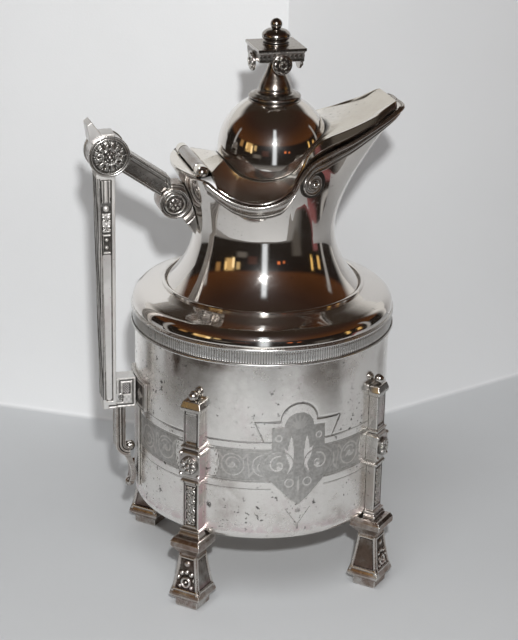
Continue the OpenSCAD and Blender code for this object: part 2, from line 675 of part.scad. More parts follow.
// children cut this deep into both sides of the handle
module both_sides(depth) for (side = [-1, 1])
    translate([0, side * (handle_t - depth + eps) / 2, 0]) slab(depth + eps) children();

module grip_outline() {
    polygon([[-grip_out + 3, grip_low], [-grip_out, grip_top], [-grip_out + grip_w, grip_top],
             [-grip_out + 3 + grip_foot_w, grip_low]]);
}

module grip_channel() {
    rim_w = 1.5;
    low = grip_low + 4;
    high = boss_z - upper_boss_r - 2;
    polygon([[-grip_out + 2.9 + rim_w, low], [-grip_out + 0.7 + rim_w, high],
             [-grip_out + grip_w - 0.3 - rim_w, high], [-grip_out + 2.9 + grip_foot_w - rim_w, low]]);
}

module fret() {
    w = key_bar;
    left = -grip_out + 3;
    high = grip_low + key_side;
    translate([left + 1, grip_low]) square([key_right - left - 1, w]);
    translate([key_right - w, grip_low]) square([w, key_side]);
    translate([key_left, high - w]) square([key_right - key_left, w]);
    translate([key_left, high - 9]) square([w, 9]);
    translate([key_right - w - 3.6, grip_low + w]) square([4, 4]);
}

module handle_grip() {
    color(old_silver) union() {
        difference() {
            slab(handle_t) union() {
                grip_outline();
                in_xz(boss_x, boss_z, 0) circle(r = upper_boss_r - 0.6);
                polygon([[-grip_out - 2.4, grip_top - 4], [-beak_out, grip_top + 4.6],
                         [-beak_out + 2.1, grip_top + 6.2], [-grip_out + 3, grip_top],
                         [-grip_out + 3, grip_top - 6]]);
            }
            both_sides(channel_d) grip_channel();
        }
        slab(handle_t - 1) fret();
        slab(handle_t - 4) translate([key_left + 2, grip_low + 1])
            square([key_right - key_left - 3, key_side - 2]);
    }
}

module handle_upper_boss() {
    color(old_silver) for (side = [-1, 1])
        translate([boss_x, side * (handle_t / 2 + seat / 2), boss_z]) rotate([-90 * side, 0, 0]) {
            difference() {
                cylinder(h = 2, r = upper_boss_r);
                translate([0, 0, 0.8]) cylinder(h = 2, r = upper_boss_r - 1.8);
            }
            translate([0, 0, 0.7]) rosette(upper_boss_r - 2.6, 2);
        }
}

module arm_outline() {
    difference() {
        in_xz(boss_x, boss_z + arm_rise, arm_tilt) translate([0, -arm_w / 2]) square([2 * arm_reach, arm_w]);
        in_xz(boss_x, boss_z, 0) circle(r = upper_boss_r - 0.6 + seat);
        translate([lower_boss_x - root_back - seat, 0]) square([2 * arm_reach, 2 * boss_z]);
        in_xz(lower_boss_x, lower_boss_z, 0) circle(r = lower_boss_r + seat);
    }
}

module handle_arm() {
    color(old_silver) difference() {
        slab(handle_t) arm_outline();
        both_sides(channel_d) intersection() {
            in_xz(boss_x, boss_z + arm_rise, arm_tilt) translate([upper_boss_r + 1.5, 1.6 - arm_w / 2])
                square([2 * arm_reach, arm_w - 3.2]);
            translate([boss_x, 0]) square([arm_reach - 3.4, 2 * boss_z]);
        }
    }
}

// The root follows the back of the neck, from under the ledge to its pointed tip.
root_steps = 8;
root_back = 1.6;        // how far the root's back stands beyond the middle of the lower boss
root_tip_t = 0.02;
root_top_t = 0.72;
module root_outline() {
    inner = [for (i = [0:root_steps])
        let (p = wall(rim_last, mix(root_tip_t, root_top_t, i / root_steps))) [p[0] - seat, p[2]]];
    top = inner[root_steps];
    low = inner[0];
    union() {
        polygon(concat(inner, [
            [top[0] - 1.6, top[1] + 0.6], [lower_boss_x - root_back, top[1] + 0.6],
            [lower_boss_x - root_back, lower_boss_z - 3], [lower_boss_x + 3.5, lower_boss_z - 7.2],
            [low[0] - 3.2, low[1] - 1.5], [low[0] - 0.8, low[1] - 4.5]]));
        in_xz(lower_boss_x, lower_boss_z, 0) circle(r = lower_boss_r);
    }
}

module handle_root() {
    color(old_silver) slab(handle_t) root_outline();
}

module handle_lower_boss() {
    color(old_silver) for (side = [-1, 1])
        translate([lower_boss_x, side * (handle_t / 2 + seat / 2), lower_boss_z]) rotate([-90 * side, 0, 0]) {
            difference() {
                cylinder(h = 1.8, r = lower_boss_r);
                translate([0, 0, 0.7]) cylinder(h = 2, r = lower_boss_r - 1.5);
            }
            translate([0, 0, 0.6]) rosette(lower_boss_r - 2.6, 1.8);
        }
}

module drum_skin(t, half, low, high) {
    difference() {
        intersection() {
            translate([0, 0, low]) cylinder(h = high - low, r = drum_r + t, $fn = 160);
            translate([-2 * drum_r, -half, low]) cube([2 * drum_r, 2 * half, high - low]);
        }
        translate([0, 0, low - 1]) cylinder(h = high - low + 2, r = drum_r + seat / 2, $fn = 160);
    }
}

module handle_bracket() {
    color(old_silver) drum_skin(1.8, 14.5, grip_low + 0.8, grip_low + key_side);
}

strip_half = 4.5;
module tail_strip() {
    color(old_silver) drum_skin(1, strip_half, grip_low - 44, grip_low + 0.7);
}

// Outline of a bar of width w along the points p.
function side_of(p, i) =
    let (d = unit(p[min(len(p) - 1, i + 1)] - p[max(0, i - 1)])) [-d[1], d[0]];
module bar_along(p, w) {
    last = len(p) - 1;
    polygon(concat([for (i = [0:last]) p[i] + side_of(p, i) * w / 2],
                   [for (i = [last:-1:0]) p[i] - side_of(p, i) * w / 2]));
}

tail_x = -grip_out + 11.8;
tail_t = 7;
tail_ball_r = 2.8;
module handle_tail() {
    r = tail_bar_r + 2;
    turn_z = grip_low - 20.5;
    hook = concat([[tail_x, grip_low - seat]], arc(tail_x + r, turn_z, r, 180, 275, 9));
    scroll = [[tail_x + 2.4, turn_z - 4.6], [tail_x + 4.6, turn_z - 9], [tail_x + 6.2, turn_z - 13.5],
              [tail_x + 6.6, turn_z - 18], [tail_x + 5.8, turn_z - 21.5]];
    color(old_silver) union() {
        slab(tail_t) bar_along(hook, 2 * tail_bar_r);
        slab(tail_t - 1) bar_along([for (i = [0:12]) spline(scroll, i / 3)], 2.8);
        translate([tail_x + 5.2, 0, turn_z - 2.6]) sphere(r = tail_ball_r, $fn = 48);
        translate([tail_x + 5.2, 0, turn_z - 22.6]) sphere(r = 2.5, $fn = 48);
    }
}

// ---------- legs ----------
leg_r = drum_r + leg_out;
leg_top = band_z - leg_drop;
block_low = drum_lift + 32.5;
block_h = 13;
// half widths of the foot, from the table up to the cap block under the drum
foot_profile = concat(
    [[pad_half - 0.7, 0], [pad_half, 0.8], [pad_half, 4.6], [foot_half - 1.2, 5.2],
     [foot_half, 6.8], [foot_half - 0.3, 8.2]],
    [for (i = [1:6]) let (f = i / 6)
        [mix(foot_half - 0.3, 4.9, pow(f, 0.62)), mix(8.2, drum_lift - 9, f)]],
    [[5.2, drum_lift - 8.6], [cap_half - 1.4, drum_lift - 6.6], [cap_half, drum_lift - 4.9],
     [cap_half, drum_lift - 2.2], [cap_half - 1.2, drum_lift - 0.1]]);
// how far the column's mouldings stand out beyond its plain face, by height
block_top = block_low + block_h;
column_profile = [
    [1.6, drum_lift - 1], [1.6, drum_lift + 1.2], [0.8, drum_lift + 2.4],
    [1.2, drum_lift + 3.6], [0, drum_lift + 4.4],
    [0, block_low - 4], [0.9, block_low - 3.6], [0.9, block_low - 2.4],
    [0.2, block_low - 2], [0.2, block_low - 0.6],
    [1.4, block_low], [1.4, block_top],
    [0.2, block_top + 0.6], [0.2, block_top + 1.2],
    [0.9, block_top + 1.6], [0.9, block_top + 2.8], [0, block_top + 3.2],
    [0, leg_top - 5.4], [0.9, leg_top - 4.8], [1.2, leg_top - 3.4], [0.2, leg_top]];
column_out = drum_r + leg_proud;
panel_edge = 1.3;       // width of the raised border round the column's sunk panels
panel_d = 0.5;          // how deep the panels are sunk

// Outline with the same profile on both sides of the line x = middle.
module both_ways(profile, middle, half = 0)
    polygon(concat([for (p = profile) [middle + half + p[0], p[1]]],
                   backwards([for (p = profile) [middle - half - p[0], p[1]]])));

module leg_foot() {
    intersection() {
        slab(4 * foot_half) both_ways(foot_profile, leg_r);
        rotate(90) slab(4 * leg_r) both_ways(foot_profile, 0);
    }
}

module leg_column() {
    intersection() {
        slab(4 * cap_half) polygon(concat([for (p = column_profile) [column_out + p[0], p[1]]],
            [[drum_r - 2, leg_top], [drum_r - 2, drum_lift - 1]]));
        rotate(90) slab(4 * leg_r) both_ways(column_profile, 0, leg_half);
    }
}

module sunk_panel(low, high) {
    half = leg_half - panel_edge;
    translate([column_out - panel_d, -half, low]) cube([leg_proud, 2 * half, high - low]);
}

module leg() {
    color(old_silver) difference() {
        union() {
            leg_foot();
            leg_column();
        }
        translate([0, 0, drum_lift - seat]) cylinder(h = leg_top, r = drum_r + seat / 2, $fn = 160);
        sunk_panel(drum_lift + 4.4 + panel_edge, block_low - 4 - panel_edge);
        sunk_panel(block_top + 3.2 + panel_edge, leg_top - 5.4 - panel_edge);
    }
}
LEG_ANGLES = [225, 315, 45, 135];
module leg_front_left() rotate(LEG_ANGLES[0]) leg();
module leg_front_right() rotate(LEG_ANGLES[1]) leg();
module leg_back_right() rotate(LEG_ANGLES[2]) leg();
module leg_back_left() rotate(LEG_ANGLES[3]) leg();

module leg_rosettes() {
    color(old_silver) for (a = LEG_ANGLES)
        rotate(a) translate([column_out + 1.4 + seat / 2, 0, (block_low + block_top) / 2])
            rotate([0, 90, 0]) rosette(4.7, 1.9);
}

leg_ball_r = 2.5;
module leg_balls() {
    color(old_silver) for (a = LEG_ANGLES)
        rotate(a) translate([drum_r + leg_ball_r + 0.3, 0, leg_top + leg_ball_r + seat / 2])
            sphere(r = leg_ball_r, $fn = 48);
}

// ---------- the whole pot ----------
module placed() translate([origin_shift, 0, 0]) children();

placed() drum();
placed() base_disc();
placed() milled_band();
placed() shoulder();
placed() neck_collar();
placed() neck();
placed() rim_moulding_front();
placed() rim_moulding_back();
placed() spout_scroll_front();
placed() spout_scroll_back();
placed() spout_ornament();
placed() hinge_ledge();
placed() hinge_pin();
placed() lid_knuckle();
placed() lid_saddle();
placed() lid_dome();
placed() dome_collar();
placed() finial_stem();
placed() abacus();
placed() abacus_rosettes();
placed() finial_bun();
placed() finial_ball();
placed() finial_stud();
placed() finial_nut();
placed() handle_root();
placed() handle_lower_boss();
placed() handle_arm();
placed() handle_upper_boss();
placed() handle_grip();
placed() handle_bracket();
placed() handle_tail();
placed() tail_strip();
placed() leg_front_left();
placed() leg_front_right();
placed() leg_back_right();
placed() leg_back_left();
placed() leg_rosettes();
placed() leg_balls();
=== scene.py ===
import functools
import math

import bmesh
import bpy
import numpy as np
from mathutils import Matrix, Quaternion, Vector


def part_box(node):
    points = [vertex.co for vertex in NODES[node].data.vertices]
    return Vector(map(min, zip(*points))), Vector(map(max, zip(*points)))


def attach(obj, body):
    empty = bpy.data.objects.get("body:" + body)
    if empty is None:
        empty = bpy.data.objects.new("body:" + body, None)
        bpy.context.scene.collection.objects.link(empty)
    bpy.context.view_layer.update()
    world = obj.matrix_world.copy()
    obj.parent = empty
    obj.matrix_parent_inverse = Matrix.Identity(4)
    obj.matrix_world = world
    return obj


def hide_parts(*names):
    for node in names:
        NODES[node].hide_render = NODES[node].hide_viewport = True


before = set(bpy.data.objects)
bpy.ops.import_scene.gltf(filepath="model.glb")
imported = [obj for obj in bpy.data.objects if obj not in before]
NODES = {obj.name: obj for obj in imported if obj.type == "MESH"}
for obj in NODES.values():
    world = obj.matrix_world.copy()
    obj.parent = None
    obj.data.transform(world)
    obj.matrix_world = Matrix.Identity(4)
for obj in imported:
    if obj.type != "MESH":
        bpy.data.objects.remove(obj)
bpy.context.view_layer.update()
MM = 0.001

# ---------- the pot's own sizes, in millimetres from its axis ----------
AXIS_X = (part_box("drum")[0].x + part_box("drum")[1].x) / 2 / MM
DRUM_R = (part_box("drum")[1].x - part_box("drum")[0].x) / 2 / MM
DRUM_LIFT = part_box("drum")[0].z / MM
BAND_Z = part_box("milled_band")[0].z / MM
SHOULDER_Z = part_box("milled_band")[1].z / MM
BAND_R = (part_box("milled_band")[1].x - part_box("milled_band")[0].x) / 2 / MM
NECK_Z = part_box("neck")[0].z / MM
SHEET_T = 1.2
NECK_FOOT_R = 48.6
WAIST_R = 34.8
WAIST_RISE = 31.8
WAIST_Z = NECK_Z + WAIST_RISE
MOUTH_Z = WAIST_Z + 20
MOUTH_R = 41.2
TIP_Z = MOUTH_Z + 36.8
TIP_HALF = 13.2
SPOUT_REACH = 66.0
ROOT_HALF = 23.0
ROOT_X = 26.0
LEDGE_R = 46.5
LEDGE_Z = MOUTH_Z + 10
HINGE_BACK = 36.8
KNUCKLE_END = 21.0
DOME_R = 27.3
DOME_X = 4.0
DOME_Z = MOUTH_Z + 16.3
LID_T = 1.0
LID_GAP = 0.5
LID_INSET = 0.9
COLLAR_Z = DOME_Z + 23.7
STEM_Z = COLLAR_Z + 4.3
ABACUS_Z = DOME_Z + 51.3
PLATE_Z = ABACUS_Z - 2.2
STUD_HOLE_R = 1.65
BASE = np.array([AXIS_X, 0, 0])
UP = np.array([0, 0, 1.0])
MIRROR = np.array([1, -1, 1])
SIDES = (("back", 1), ("front", MIRROR))


# ---------- small maths ----------
def mix(a, b, t):
    return a + (b - a) * t


def smooth(low, high, x):
    """0 below low, 1 above high, with a soft step between them."""
    t = np.clip((np.asarray(x, float) - low) / (high - low), 0, 1)
    return t * t * (3 - 2 * t)


def unit(v):
    return v / np.maximum(np.linalg.norm(v, axis=-1, keepdims=True), 1e-12)


def spread(x):
    """Two numbers to three, with a height of nothing."""
    return np.concatenate([x, np.zeros_like(x[..., :1])], -1)


def around(r, a, z):
    """Points at radius r, angle a in radians and height z."""
    return np.stack(np.broadcast_arrays(r * np.cos(a), r * np.sin(a), z), -1)


def rows(values, count):
    return np.repeat(np.asarray(values, float)[None], count, 0)


def arc(cx, cz, r, a0, a1, n):
    """n + 1 points of an arc, from angle a0 to a1 in degrees."""
    a = np.radians(np.linspace(a0, a1, n + 1))
    return np.stack([cx + r * np.cos(a), cz + r * np.sin(a)], 1)


def bow(a, b, c, t):
    """Curve from a to c that is drawn towards b."""
    return a * (1 - t) ** 2 + b * 2 * t * (1 - t) + c * t * t


def straight(points, u):
    p = np.asarray(points, float)
    i = np.clip(np.floor(u).astype(int), 0, len(p) - 2)
    t = (u - i)[..., None] if p.ndim > 1 else u - i
    return mix(p[i], p[i + 1], t)


def spline(points, u):
    """Smooth curve through the points, where u counts the points."""
    p = np.asarray(points, float)
    u = np.asarray(u, float)
    last = len(p) - 1
    i = np.clip(np.floor(u).astype(int), 0, last - 1)
    t = (u - i)[..., None] if p.ndim > 1 else u - i
    a, b = p[np.maximum(i - 1, 0)], p[i]
    c, d = p[i + 1], p[np.minimum(i + 2, last)]
    return 0.5 * (2 * b + (c - a) * t + (2 * a - 5 * b + 4 * c - d) * t**2 + (3 * b - 3 * c + d - a) * t**3)


def rounded(profile, r):
    """The closed polygon with each corner turned into a small arc of five points, of about radius r."""
    p = np.asarray(profile, float)
    t = np.linspace(0, 1, 5)[:, None]
    out = []
    for i, here in enumerate(p):
        before, after = p[i - 1] - here, p[(i + 1) % len(p)] - here
        to_b, to_a = np.linalg.norm(before), np.linalg.norm(after)
        cut = min(r, 0.42 * to_b, 0.42 * to_a)
        out.append(bow(here + before / to_b * cut, here, here + after / to_a * cut, t))
    return np.concatenate(out)


def bisect(below, low, high, shape):
    """Where below(value) stops being true between low and high, for each element of the shape."""
    low, high = np.full(shape, float(low)), np.full(shape, float(high))
    for _ in range(26):
        middle = (low + high) / 2
        less = below(middle)
        low, high = np.where(less, middle, low), np.where(less, high, middle)
    return (low + high) / 2


# ---------- mesh building ----------
def set_values(mesh, **layers):
    """Numbers from 0 to 1 on the points, which the materials read by name."""
    for name, values in layers.items():
        layer = mesh.attributes.new(name, "FLOAT", "POINT")
        layer.data.foreach_set("value", np.asarray(values, np.float32).ravel())


def linked(name, mesh):
    o = bpy.data.objects.new(name, mesh)
    bpy.context.scene.collection.objects.link(o)
    return o


def mesh_object(name, points, faces, recess=0.0):
    """Object from points in millimetres from the pot's axis. recess, 0 to 1, darkens the hollows."""
    co = (np.asarray(points, float) + BASE) * MM
    mesh = bpy.data.meshes.new(name)
    mesh.vertices.add(len(co))
    mesh.vertices.foreach_set("co", co.astype(np.float32).ravel())
    mesh.loops.add(faces.size)
    mesh.loops.foreach_set("vertex_index", faces.ravel().astype(np.int32))
    mesh.polygons.add(len(faces))
    mesh.polygons.foreach_set("loop_start", (np.arange(len(faces)) * 4).astype(np.int32))
    mesh.update(calc_edges=True)
    mesh.validate()
    set_values(mesh, recess=np.zeros(len(co)) + np.ravel(recess))
    mesh.shade_smooth()
    return linked(name, mesh)


def grid_faces(m, n, close_m, close_n):
    """Quads of an m by n grid of points, which may join up in either direction."""
    i, j = np.meshgrid(np.arange(m if close_m else m - 1), np.arange(n if close_n else n - 1), indexing="ij")
    i2, j2 = (i + 1) % m, (j + 1) % n
    return np.stack([i * n + j, i2 * n + j, i2 * n + j2, i * n + j2], -1).reshape(-1, 4)


def edited(o, change):
    """The object after change has worked on its mesh."""
    bm = bmesh.new()
    bm.from_mesh(o.data)
    change(bm)
    bm.to_mesh(o.data)
    bm.free()
    return o


def applied(o):
    """The object with its modifiers made part of its mesh."""
    bpy.context.view_layer.update()
    done = bpy.data.meshes.new_from_object(o.evaluated_get(bpy.context.evaluated_depsgraph_get()))
    o.modifiers.clear()
    o.data = done
    return o


def ring_object(name, rings, closed, recess=0.0):
    """Solid from rings of points: closed joins the last ring to the first, else both ends are capped."""
    rings = np.asarray(rings, float)
    m, n = rings.shape[:2]

    def cap(bm):
        bm.verts.ensure_lookup_table()
        for first in (0, (m - 1) * n):
            bm.faces.new([bm.verts[first + k] for k in range(n)])

    o = mesh_object(name, rings.reshape(-1, 3), grid_faces(m, n, closed, True), recess)
    if not closed:
        edited(o, cap)
    return edited(o, lambda bm: bmesh.ops.recalc_face_normals(bm, faces=bm.faces))


def turned(name, profile, x=0.0, sides=192, recess=0.0):
    """The closed profile, in radius and height, turned round an upright axis."""
    r, z = np.asarray(profile, float).T
    a = np.radians(np.arange(sides) * 360 / sides)
    rings = around(r, a[:, None], z) + np.array([x, 0, 0])
    return ring_object(name, rings, True, rows(recess + np.zeros(len(r)), sides))


def joined(name, objects):
    with bpy.context.temp_override(active_object=objects[0], selected_editable_objects=objects):
        bpy.ops.object.join()
    objects[0].name = name
    return objects[0]


def finish_piece(o, body, material, *nodes, slot="polished_silver"):
    o.data.materials.clear()
    o.data.materials.append(material)
    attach(o, body)
    if nodes:
        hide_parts(*nodes)
    return o


# ---------- materials ----------
class Nodes:
    """Short ways to add nodes and links to one shader tree."""

    def __init__(self, tree, place):
        self.tree = tree
        self.place = self.add("TexCoord", out=place)

    def add(self, kind, inputs=None, out=0, **settings):
        """One output of a new node, after its settings and inputs are set."""
        node = self.tree.nodes.new("ShaderNode" + kind)
        for key, value in settings.items():
            setattr(node, key, value)
        for key, value in (inputs or {}).items():
            self.put(value, node.inputs[key])
        return node.outputs[out]

    def put(self, value, socket):
        """Links another node's output to the socket, or sets the socket to a number, colour or vector."""
        if isinstance(value, bpy.types.NodeSocket):
            self.tree.links.new(value, socket)
        else:
            socket.default_value = (*value, 1) if socket.type == "RGBA" else value

    def noise(self, scale, detail=3.0, roughness=0.5):
        inputs = {"Scale": scale, "Detail": detail, "Roughness": roughness, "Vector": self.place}
        return self.add("TexNoise", inputs, "Fac")

    def ramp(self, value, low, high, start=0.0, end=1.0):
        """start below low, end above high, smooth between."""
        inputs = {"Value": value, "From Min": low, "From Max": high, "To Min": start, "To Max": end}
        return self.add("MapRange", inputs, "Result", interpolation_type="SMOOTHSTEP")

    def math(self, operation, *values, clamp=False):
        return self.add("Math", dict(enumerate(values)), operation=operation, use_clamp=clamp)

    def times(self, a, b):
        return self.math("MULTIPLY", a, b)

    def blend(self, factor, a, b):
        """Colour a where factor is 0, colour b where it is 1."""
        return self.add("Mix", {"Factor": factor, "A": a, "B": b}, "Result", data_type="RGBA")

    def attribute(self, name):
        return self.add("Attribute", out="Fac", attribute_name=name)

    def bump(self, height, strength, distance, normal=None):
        inputs = {"Height": height, "Strength": strength, "Distance": distance}
        return self.add("Bump", inputs if normal is None else inputs | {"Normal": normal})


class Surface(Nodes):
    """Nodes of one material, with its shader's inputs."""

    def __init__(self, name):
        self.material = bpy.data.materials.new(name)
        self.material.use_nodes = True
        super().__init__(self.material.node_tree, "Object")
        self.shader = self.tree.nodes["Principled BSDF"]

    def set(self, **inputs):
        for name, value in inputs.items():
            self.put(value, self.shader.inputs[name.replace("_", " ")])


DARK = (0.028, 0.024, 0.020)
BROWN = (0.30, 0.235, 0.18)
OLD_FILM = (0.36, 0.25, 0.19)
THICK_FILM = (0.19, 0.12, 0.085)
PINK = (0.72, 0.57, 0.60)
RUBBED = (0.80, 0.78, 0.74)


def silver(name, colour, rough, film=0.5, pits=0.5, patina=0.0, grain=0.012, haze=0.0, metal=1.0,
           engraved=False):
    """Old silver plate. film is how much brown tarnish lies on it, pits how many dark specks, patina how
    much of the dull pink bloom of bare base metal shows, and haze how far fine scratches spread the light
    of the lamps. engraved adds the matte, hatched ground and dark marks where the mesh says so."""
    n = Surface(name)
    cloud, fine = n.noise(34, 6, 0.62), n.noise(260, 4, 0.6)
    base = n.blend(n.ramp(cloud, 0.50, 0.74, 0.0, film), colour, BROWN)
    base = n.blend(n.ramp(n.noise(11, 5, 0.6), 0.56, 0.74, 0.0, film * 1.1), base, OLD_FILM)
    if patina:
        base = n.blend(n.ramp(n.noise(60, 5, 0.7), 0.52, 0.66, 0.0, patina), base, PINK)
    bloom = n.times(n.attribute("bloom"), n.ramp(n.noise(150, 5, 0.7), 0.38, 0.55))
    base = n.blend(bloom, base, PINK)
    stain = n.times(n.attribute("stain"), n.ramp(n.noise(90, 6, 0.7), 0.28, 0.62))
    base = n.blend(stain, base, THICK_FILM)
    specks = n.times(n.ramp(n.noise(700, 2, 0.5), 0.665, 0.73), n.ramp(n.noise(48, 3), 0.46, 0.62, 0.0, pits))
    base = n.blend(specks, base, DARK)
    base = n.blend(n.times(n.attribute("wear"), 0.75), base, RUBBED)
    ragged = n.times(n.math("SUBTRACT", fine, 0.5), 0.35)
    hollow = n.ramp(n.math("ADD", n.attribute("recess"), ragged), 0.12, 0.85)
    base = n.blend(n.times(hollow, 0.93), base, DARK)
    uneven = n.ramp(cloud, 0.35, 0.75, rough * 0.8, rough * 1.35)
    worn = n.math("ADD", uneven, n.ramp(fine, 0.4, 0.7, 0.0, 0.05))
    worn = n.math("ADD", worn, n.times(n.math("ADD", hollow, bloom), 0.3), clamp=True)
    normal = n.bump(n.noise(420, 4, 0.55), grain * 4, 0.0002)
    normal = n.bump(specks, 0.25, 0.00012, normal)
    if engraved:
        matte = n.attribute("matte")
        lines = n.add("TexWave", {"Scale": 520, "Distortion": 0.6, "Vector": n.place}, "Fac", wave_type="BANDS",
                      bands_direction="Z", wave_profile="SIN")
        normal = n.bump(n.times(lines, n.ramp(matte, 0.2, 0.8)), 0.35, 0.00012, normal)
        marks = n.times(n.ramp(n.noise(330, 3, 0.6), 0.61, 0.68), n.ramp(n.noise(30, 3), 0.40, 0.56))
        base = n.blend(n.times(marks, 0.85), base, DARK)
        ground = n.blend(n.ramp(n.noise(620, 3, 0.6), 0.36, 0.66), (0.43, 0.425, 0.41), (0.58, 0.575, 0.56))
        ramp = n.ramp(matte, 0.05, 0.95)
        base = n.blend(n.times(ramp, 0.85), base, ground)
        worn = n.math("ADD", worn, n.times(ramp, 0.22), clamp=True)
    n.set(Base_Color=base, Metallic=metal, Roughness=worn, Coat_Weight=haze, Coat_Roughness=0.36, Normal=normal)
    return n.material


BRIGHT = silver("bright_plate", (0.86, 0.82, 0.775), 0.05, film=0.2, pits=0.5, grain=0.003, haze=0.5)
DRUM = silver("drum_plate", (0.93, 0.905, 0.87), 0.21, film=0.3, pits=1.0, patina=0.2, engraved=True)
COVER = silver("lid_plate", (0.86, 0.815, 0.74), 0.09, film=0.2, pits=1.0, grain=0.003, haze=0.5)
MOULDED = silver("moulded_silver", (0.64, 0.61, 0.575), 0.24, film=0.35, pits=0.6, grain=0.006)
CAST = silver("cast_silver", (0.60, 0.59, 0.565), 0.25, film=0.4, pits=0.9, patina=0.35, grain=0.03)
FINIAL = silver("finial_silver", (0.46, 0.435, 0.41), 0.17, film=0.5, pits=0.6)
REEDED = silver("reeded_silver", (0.82, 0.81, 0.79), 0.30, film=0.2, pits=0.4)
GRIP = silver("grip_silver", (0.88, 0.87, 0.85), 0.46, film=0.25, pits=0.8, patina=0.2, grain=0.02, metal=0.85)
HIDDEN = silver("bare_brass", (0.60, 0.46, 0.26), 0.35, film=0.4, pits=0.4)


# ---------- ornament, as heights from 0 to 1 over a flat or unrolled surface ----------
def most(*reliefs):
    return functools.reduce(np.maximum, reliefs)


def ridge(distance, width):
    """Rounded line: 1 where distance is 0, 0 from width on."""
    return np.clip(1 - (np.asarray(distance) / width) ** 2, 0, 1)


def pair(v, at, width):
    """Two lines, at the same distance on both sides of v = 0."""
    return ridge(np.abs(v) - at, width)


def bead(x, y, at, r):
    return ridge(np.hypot(x - at[0], y - at[1]), r)


def hoop(x, y, at, r, width):
    return ridge(np.hypot(x - at[0], y - at[1]) - r, width)


def path_distance(x, y, points):
    """Distance to the line through the points."""
    result = np.inf
    for (ax, ay), (bx, by) in zip(points[:-1], points[1:]):
        dx, dy = bx - ax, by - ay
        t = np.clip(((x - ax) * dx + (y - ay) * dy) / (dx * dx + dy * dy), 0, 1)
        result = np.minimum(result, np.hypot(x - ax - t * dx, y - ay - t * dy))
    return result


def stroke(x, y, points, width):
    return ridge(path_distance(x, y, points), width)


def inside(x, y, points):
    """True where the point lies within the polygon."""
    result = np.zeros(np.shape(x), bool)
    for (x1, y1), (x2, y2) in zip(points, points[1:] + points[:1]):
        if y1 != y2:
            crosses = (y1 > y) != (y2 > y)
            result ^= crosses & (x < (x2 - x1) * (y - y1) / (y2 - y1) + x1)
    return result


def leaf(x, y, at, angle, length, width):
    """Pointed leaf with a midrib, growing from a point at an angle in degrees."""
    c, s = math.cos(math.radians(angle)), math.sin(math.radians(angle))
    u = ((x - at[0]) * c + (y - at[1]) * s) / length
    v = np.abs(-(x - at[0]) * s + (y - at[1]) * c)
    half = width * np.sin(np.pi * np.clip(u, 0, 1) ** 0.75) + 1e-6
    body = ridge(v, half) * ((u > 0) & (u < 1))
    return body * (0.65 + 0.35 * np.clip(v / half * 1.6, 0, 1))


def flower(x, y, r, petals, turn=0.0):
    """Round flower about 0: petals round a ball, with a dot between each two."""
    d, a = np.hypot(x, y) / r, np.arctan2(y, x)
    lobes = np.abs(np.cos(petals / 2 * (a - math.radians(turn))))
    petal = smooth(0.25, 0.8, lobes) * ridge(d - 0.62, 0.34)
    dots = smooth(0.55, 0.9, 1 - lobes) * ridge(d - 0.86, 0.14) * 0.7
    return most(petal * 0.85, dots, ridge(d, 0.26))


def scroll(x, y, at, r, start, turns, width, side=1):
    """Spiral line that winds inwards from radius r."""
    a = np.linspace(0, turns * 2 * np.pi, int(14 * turns) + 2)
    radius = r * (1 - 0.82 * a / a[-1])
    angle = math.radians(start) + side * a
    return stroke(x, y, list(zip(at[0] + radius * np.cos(angle), at[1] + radius * np.sin(angle))), width)


def palmette(x, y, at, length, width, leaves):
    """Fan of upright leaves growing from a point."""
    fan = np.linspace(-1, 1, leaves)
    return most(*[leaf(x, y, at, 90 + 62 * f, length * (1 - 0.45 * abs(f) ** 1.5), width) for f in fan])


# ---------- drum ----------
BAND_MID = 79.1         # the frieze: its middle height, half its width, and its outer lines
BAND_HALF = 8.5
LINE_HALF = 12.5
SCROLL_STEP = 15.4      # between two roundels
CART_S = 1.6            # the cartouche's middle, round the drum from the front
CART_HALF = 24.0
QUARTER = DRUM_R * math.pi / 2

# half outlines of the cartouche, right side, as distance from the middle and height
ARCH_Z, HEAD_Z, FOOT_Z = 102.3, 99.0, 57.6
OUTER_LINE = [(9.2, ARCH_Z), (22, 102.0), (17.4, 91.6)]
GROUND = [(5.6, HEAD_Z), (13.4, 98.8), (13.4, 88), (18.4, 84), (18.6, 75), (13.6, 70.6), (4.2, 60.8),
          (0, FOOT_Z)]
FLAME = [(3.9, 94.6), (3.0, 90.7), (2.5, 83.8), (3.0, 77.9), (5.8, 74.0), (4.4, 78.9), (6.2, 82.8), (7.4, 88.2),
         (5.6, 86.8), (5.0, 90.7)]
VEE = [(6.4, 55.6), (0.4, 47.2), (0.2, 44.2)]

# brown stains: angle and height of the middle, half widths in degrees and millimetres, depth
STAINS = ((-128, 131, 11, 5, 0.8), (-146, 127.5, 2.6, 8, 1.0), (-120, 60, 8, 16, 0.4), (-77, 124, 12, 9, 0.35),
          (-107, 134, 4, 2, 0.6), (-70, 47, 9, 5, 0.4), (-38, 118, 5, 12, 0.4), (-12, 60, 9, 8, 0.35),
          (38, 128, 9, 4, 0.5), (82, 56, 10, 8, 0.3), (128, 120, 6, 9, 0.45), (160, 50, 8, 6, 0.4))


